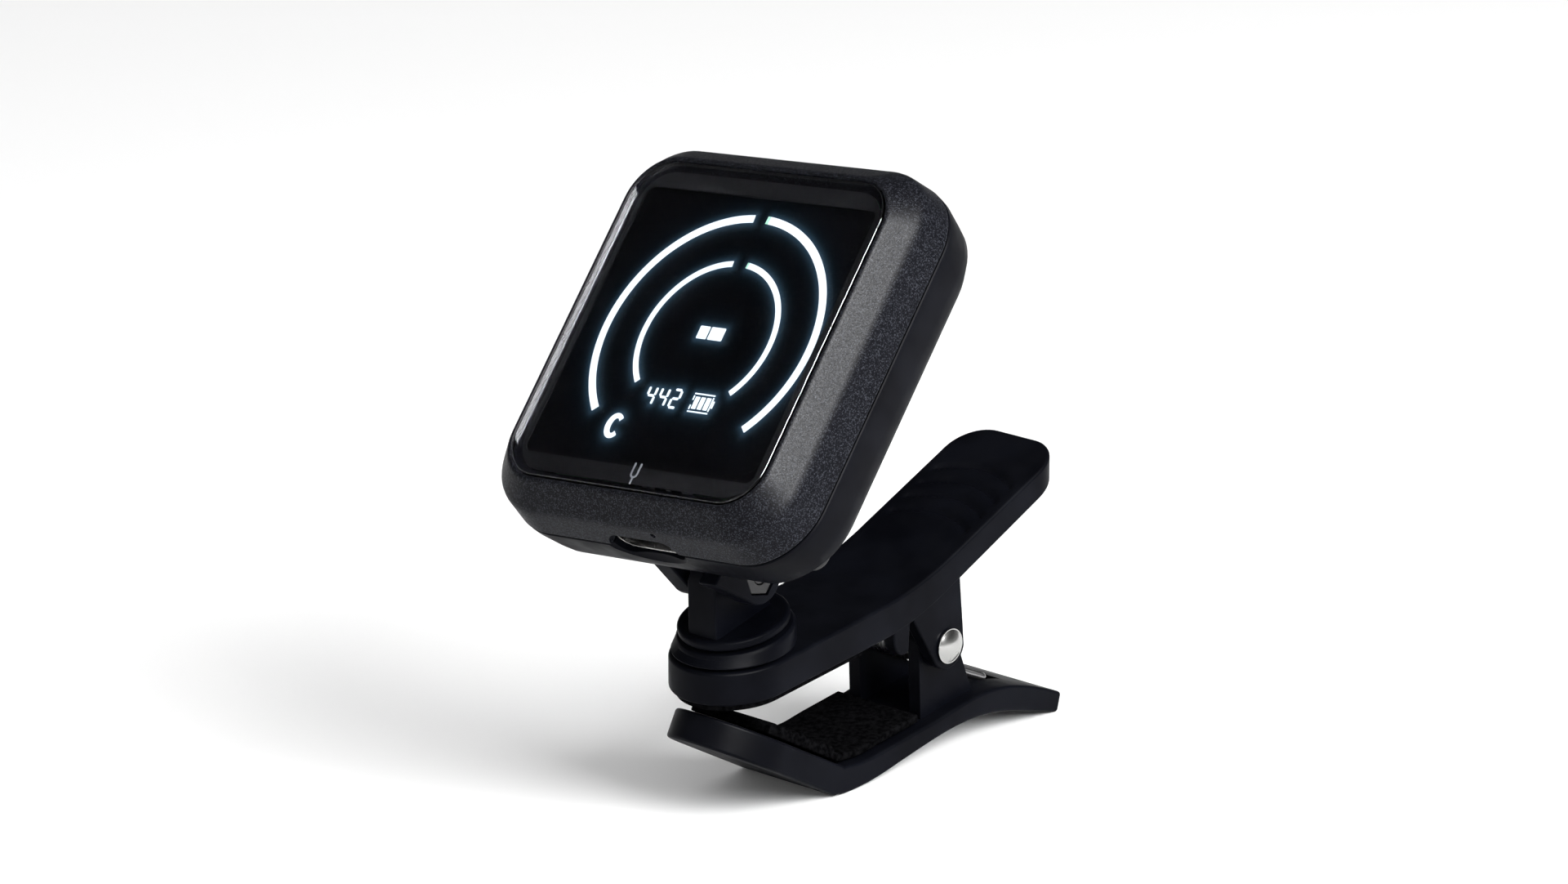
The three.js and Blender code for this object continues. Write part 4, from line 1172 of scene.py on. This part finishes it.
def lower_pad():
    """Rubber liner of the lower jaw, ribbed on the rising leg."""
    half = HALF_WIDTH - RIBS["inset"]
    front = RIBS["first"] - RIBS["count"] * RIBS["pitch"]
    reach = -LEG["reach"]
    start = math.asin((reach - front) / half)
    arc = [(half * math.cos(a), reach - half * math.sin(a)) for a in np.linspace(start, 0, 8)]
    edge = [(arc[0][0] * i / 6, front) for i in range(6)]
    spacing, end = LINER["spacing"], LINER["end"]
    plan = edge + arc + [(half, s) for s in np.arange(reach + spacing, end, spacing)] + [(half, end)]

    def across(s):
        low, high = (np.array(p, float) for p in lower_section(s))
        along = (high - low) / np.linalg.norm(high - low)
        return tuple(high + along * GAP), tuple(high + along * (GAP + RIBS["thick"]))

    pad = plate("lower_jaw_pad_rubber", plan, across, 0.2, relief=rib_relief, columns=12, steps=3)
    settle(pad, CLAMP, "clamp_base", "jaw_rubber", "lower_jaw_pad", sharp=45)


RIVET = {"rim": 1.95, "edge": 0.1, "sink": 1.95, "dome": 2.75}


def pivot_pin():
    """Rivet with a polished dome outside each ear."""
    face = HALF_WIDTH + SLIP
    centre = 1e-4
    dome = fillet_arc((0, -RIVET["sink"]), RIVET["dome"], 48, 88, 10)
    cap = [(RIVET["rim"], 0.0), (RIVET["rim"], RIVET["edge"])] + dome
    profile = [(centre, -face - dome[-1][1]), *((r, -face - h) for r, h in reversed(cap))]
    profile += [(PIN_RADIUS, -face + 0.02), (PIN_RADIUS, face - 0.02)]
    profile += [*((r, face + h) for r, h in cap), (centre, face + dome[-1][1])]
    pin = lathe("pivot_pin_rivet", profile, 64)
    along_x = Matrix.Rotation(math.pi / 2, 4, "Y")
    moved(pin, Matrix.Translation((0, PIVOT["y"], PIVOT["z"])) @ along_x)
    settle(pin, CLAMP, "clamp_base", "polished_steel", "pivot_pin")


SPRING = {
    "wire": 0.38,
    "coil": 2.25,
    "pitch": 0.95,
    "inner": 0.7,
    "bend": 0.5,
    "first_angle": 2.246,
    "last_angle": 4.269 + 4 * math.pi,
    "bridge": (28.2, 5.25),
    "tip": (28.5, 24.2),
}


def spring_half():
    """Centreline from the tip under the upper lever, round the coil, to the middle of the bridge."""
    first, last = SPRING["first_angle"], SPRING["last_angle"]
    steps = 96
    coil = []
    for i in range(steps + 1):
        angle = first + (last - first) * i / steps
        x = SPRING["inner"] + SPRING["pitch"] * (angle - first) / (2 * math.pi)
        coil.append((x, *round_point((PIVOT["y"], PIVOT["z"]), SPRING["coil"], angle)))
    bridge_y, bridge_z = SPRING["bridge"]
    bend = SPRING["bend"]
    middle = (coil[-1][0] - bend, bridge_y - bend)
    corner = [(*round_point(middle, bend, a), bridge_z) for a in np.linspace(0, math.pi / 2, 7)]
    return [(SPRING["inner"], *SPRING["tip"]), *coil, *corner]


def torsion_spring():
    """Double coil round the pivot; its bridge lies on the lower tail."""
    half = spring_half()
    path = half + [(-x, y, z) for x, y, z in reversed(half)]
    curve = bpy.data.curves.new("spring_path", "CURVE")
    curve.dimensions = "3D"
    curve.bevel_depth = SPRING["wire"]
    curve.bevel_resolution = 5
    curve.use_fill_caps = True
    spline = curve.splines.new("POLY")
    spline.points.add(len(path) - 1)
    for point, place in zip(spline.points, path):
        point.co = (*place, 1)
    source = linked("spring_path", curve)
    mesh = final_mesh(source)
    bpy.data.objects.remove(source)
    wire = linked("torsion_spring_wire", mesh)
    settle(wire, CLAMP, "clamp_base", "spring_steel", "torsion_spring", sharp=60)


# ---------------------------------------------------------------- stage


def pale_floor():
    """Wide pale table top under the clamp."""
    size = 3.0
    corners = [(-size, -size, 0), (size, -size, 0), (size, size, 0), (-size, size, 0)]
    mesh = bpy.data.meshes.new("floor")
    mesh.from_pydata(corners, [], [(0, 1, 2, 3)])
    floor = linked("floor", mesh)
    look, tree, shader = nodes_of("pale_floor")
    uneven(tree, shader.inputs["Base Color"], 3, 0.88, 0.9)
    shader.inputs["Roughness"].default_value = 0.9
    shader.inputs["Specular IOR Level"].default_value = 0.0
    mesh.materials.append(look)


def area_light(name, facts, target, glossy=True, diffuse=True):
    """Square lamp aimed at the target; it can be left out of reflections or of plain shading."""
    lamp = bpy.data.lights.new(name, "AREA")
    lamp.size = facts["size"]
    lamp.energy = facts["power"]
    light = linked(name, lamp)
    aim = Vector(facts["direction"]).normalized()
    light.location = target + aim * facts["distance"]
    light.rotation_euler = aim.to_track_quat("Z", "Y").to_euler()
    light.visible_glossy = glossy
    light.visible_diffuse = diffuse


def studio(target):
    """Soft light from the right, a pale surround near the horizon and a dark ceiling for reflections."""
    area_light("key", KEY_LIGHT, target, glossy=False)
    area_light("softbox", SOFTBOX, target, diffuse=False)
    world = bpy.data.worlds.new("studio")
    bpy.context.scene.world = world
    world.use_nodes = True
    tree = world.node_tree
    place = tree.nodes.new("ShaderNodeTexCoord")
    split = tree.nodes.new("ShaderNodeSeparateXYZ")
    tree.links.new(place.outputs["Generated"], split.inputs["Vector"])
    surround = ramp(tree, split.outputs["Z"], 0.3, 0.006, 0.05, 0.4)
    path = tree.nodes.new("ShaderNodeLightPath")
    mix = tree.nodes.new("ShaderNodeMix")
    mix.data_type = "RGBA"
    mix.inputs["A"].default_value = (SURROUND, SURROUND, SURROUND, 1)
    tree.links.new(path.outputs["Is Glossy Ray"], mix.inputs["Factor"])
    tree.links.new(surround, mix.inputs["B"])
    tree.links.new(mix.outputs["Result"], tree.nodes["Background"].inputs["Color"])


def camera():
    """Long-lens camera, held level, that looks down on the front from the right."""
    azimuth, elevation = math.radians(CAMERA["azimuth"]), math.radians(CAMERA["elevation"])
    data = bpy.data.cameras.new("camera")
    data.sensor_width = 36
    data.lens = CAMERA["lens"]
    data.clip_start = 0.01
    view = linked("camera", data)
    view.location = hinge_point + Vector(CAMERA["from_hinge"])
    view.rotation_euler = (math.pi / 2 - elevation, 0, azimuth)
    bpy.context.scene.camera = view


camera()
pale_floor()
studio(hinge_point)
bpy.context.scene.view_settings.view_transform = "Standard"

front_bezel()
cover_lens()
rear_shell()
buttons()
case_screws()
usb_socket()
display()
hinge_fasteners()
swivel_post()
swivel_collar()
upper_lever()
upper_pad()
lower_lever()
lower_pad()
pivot_pin()
torsion_spring()
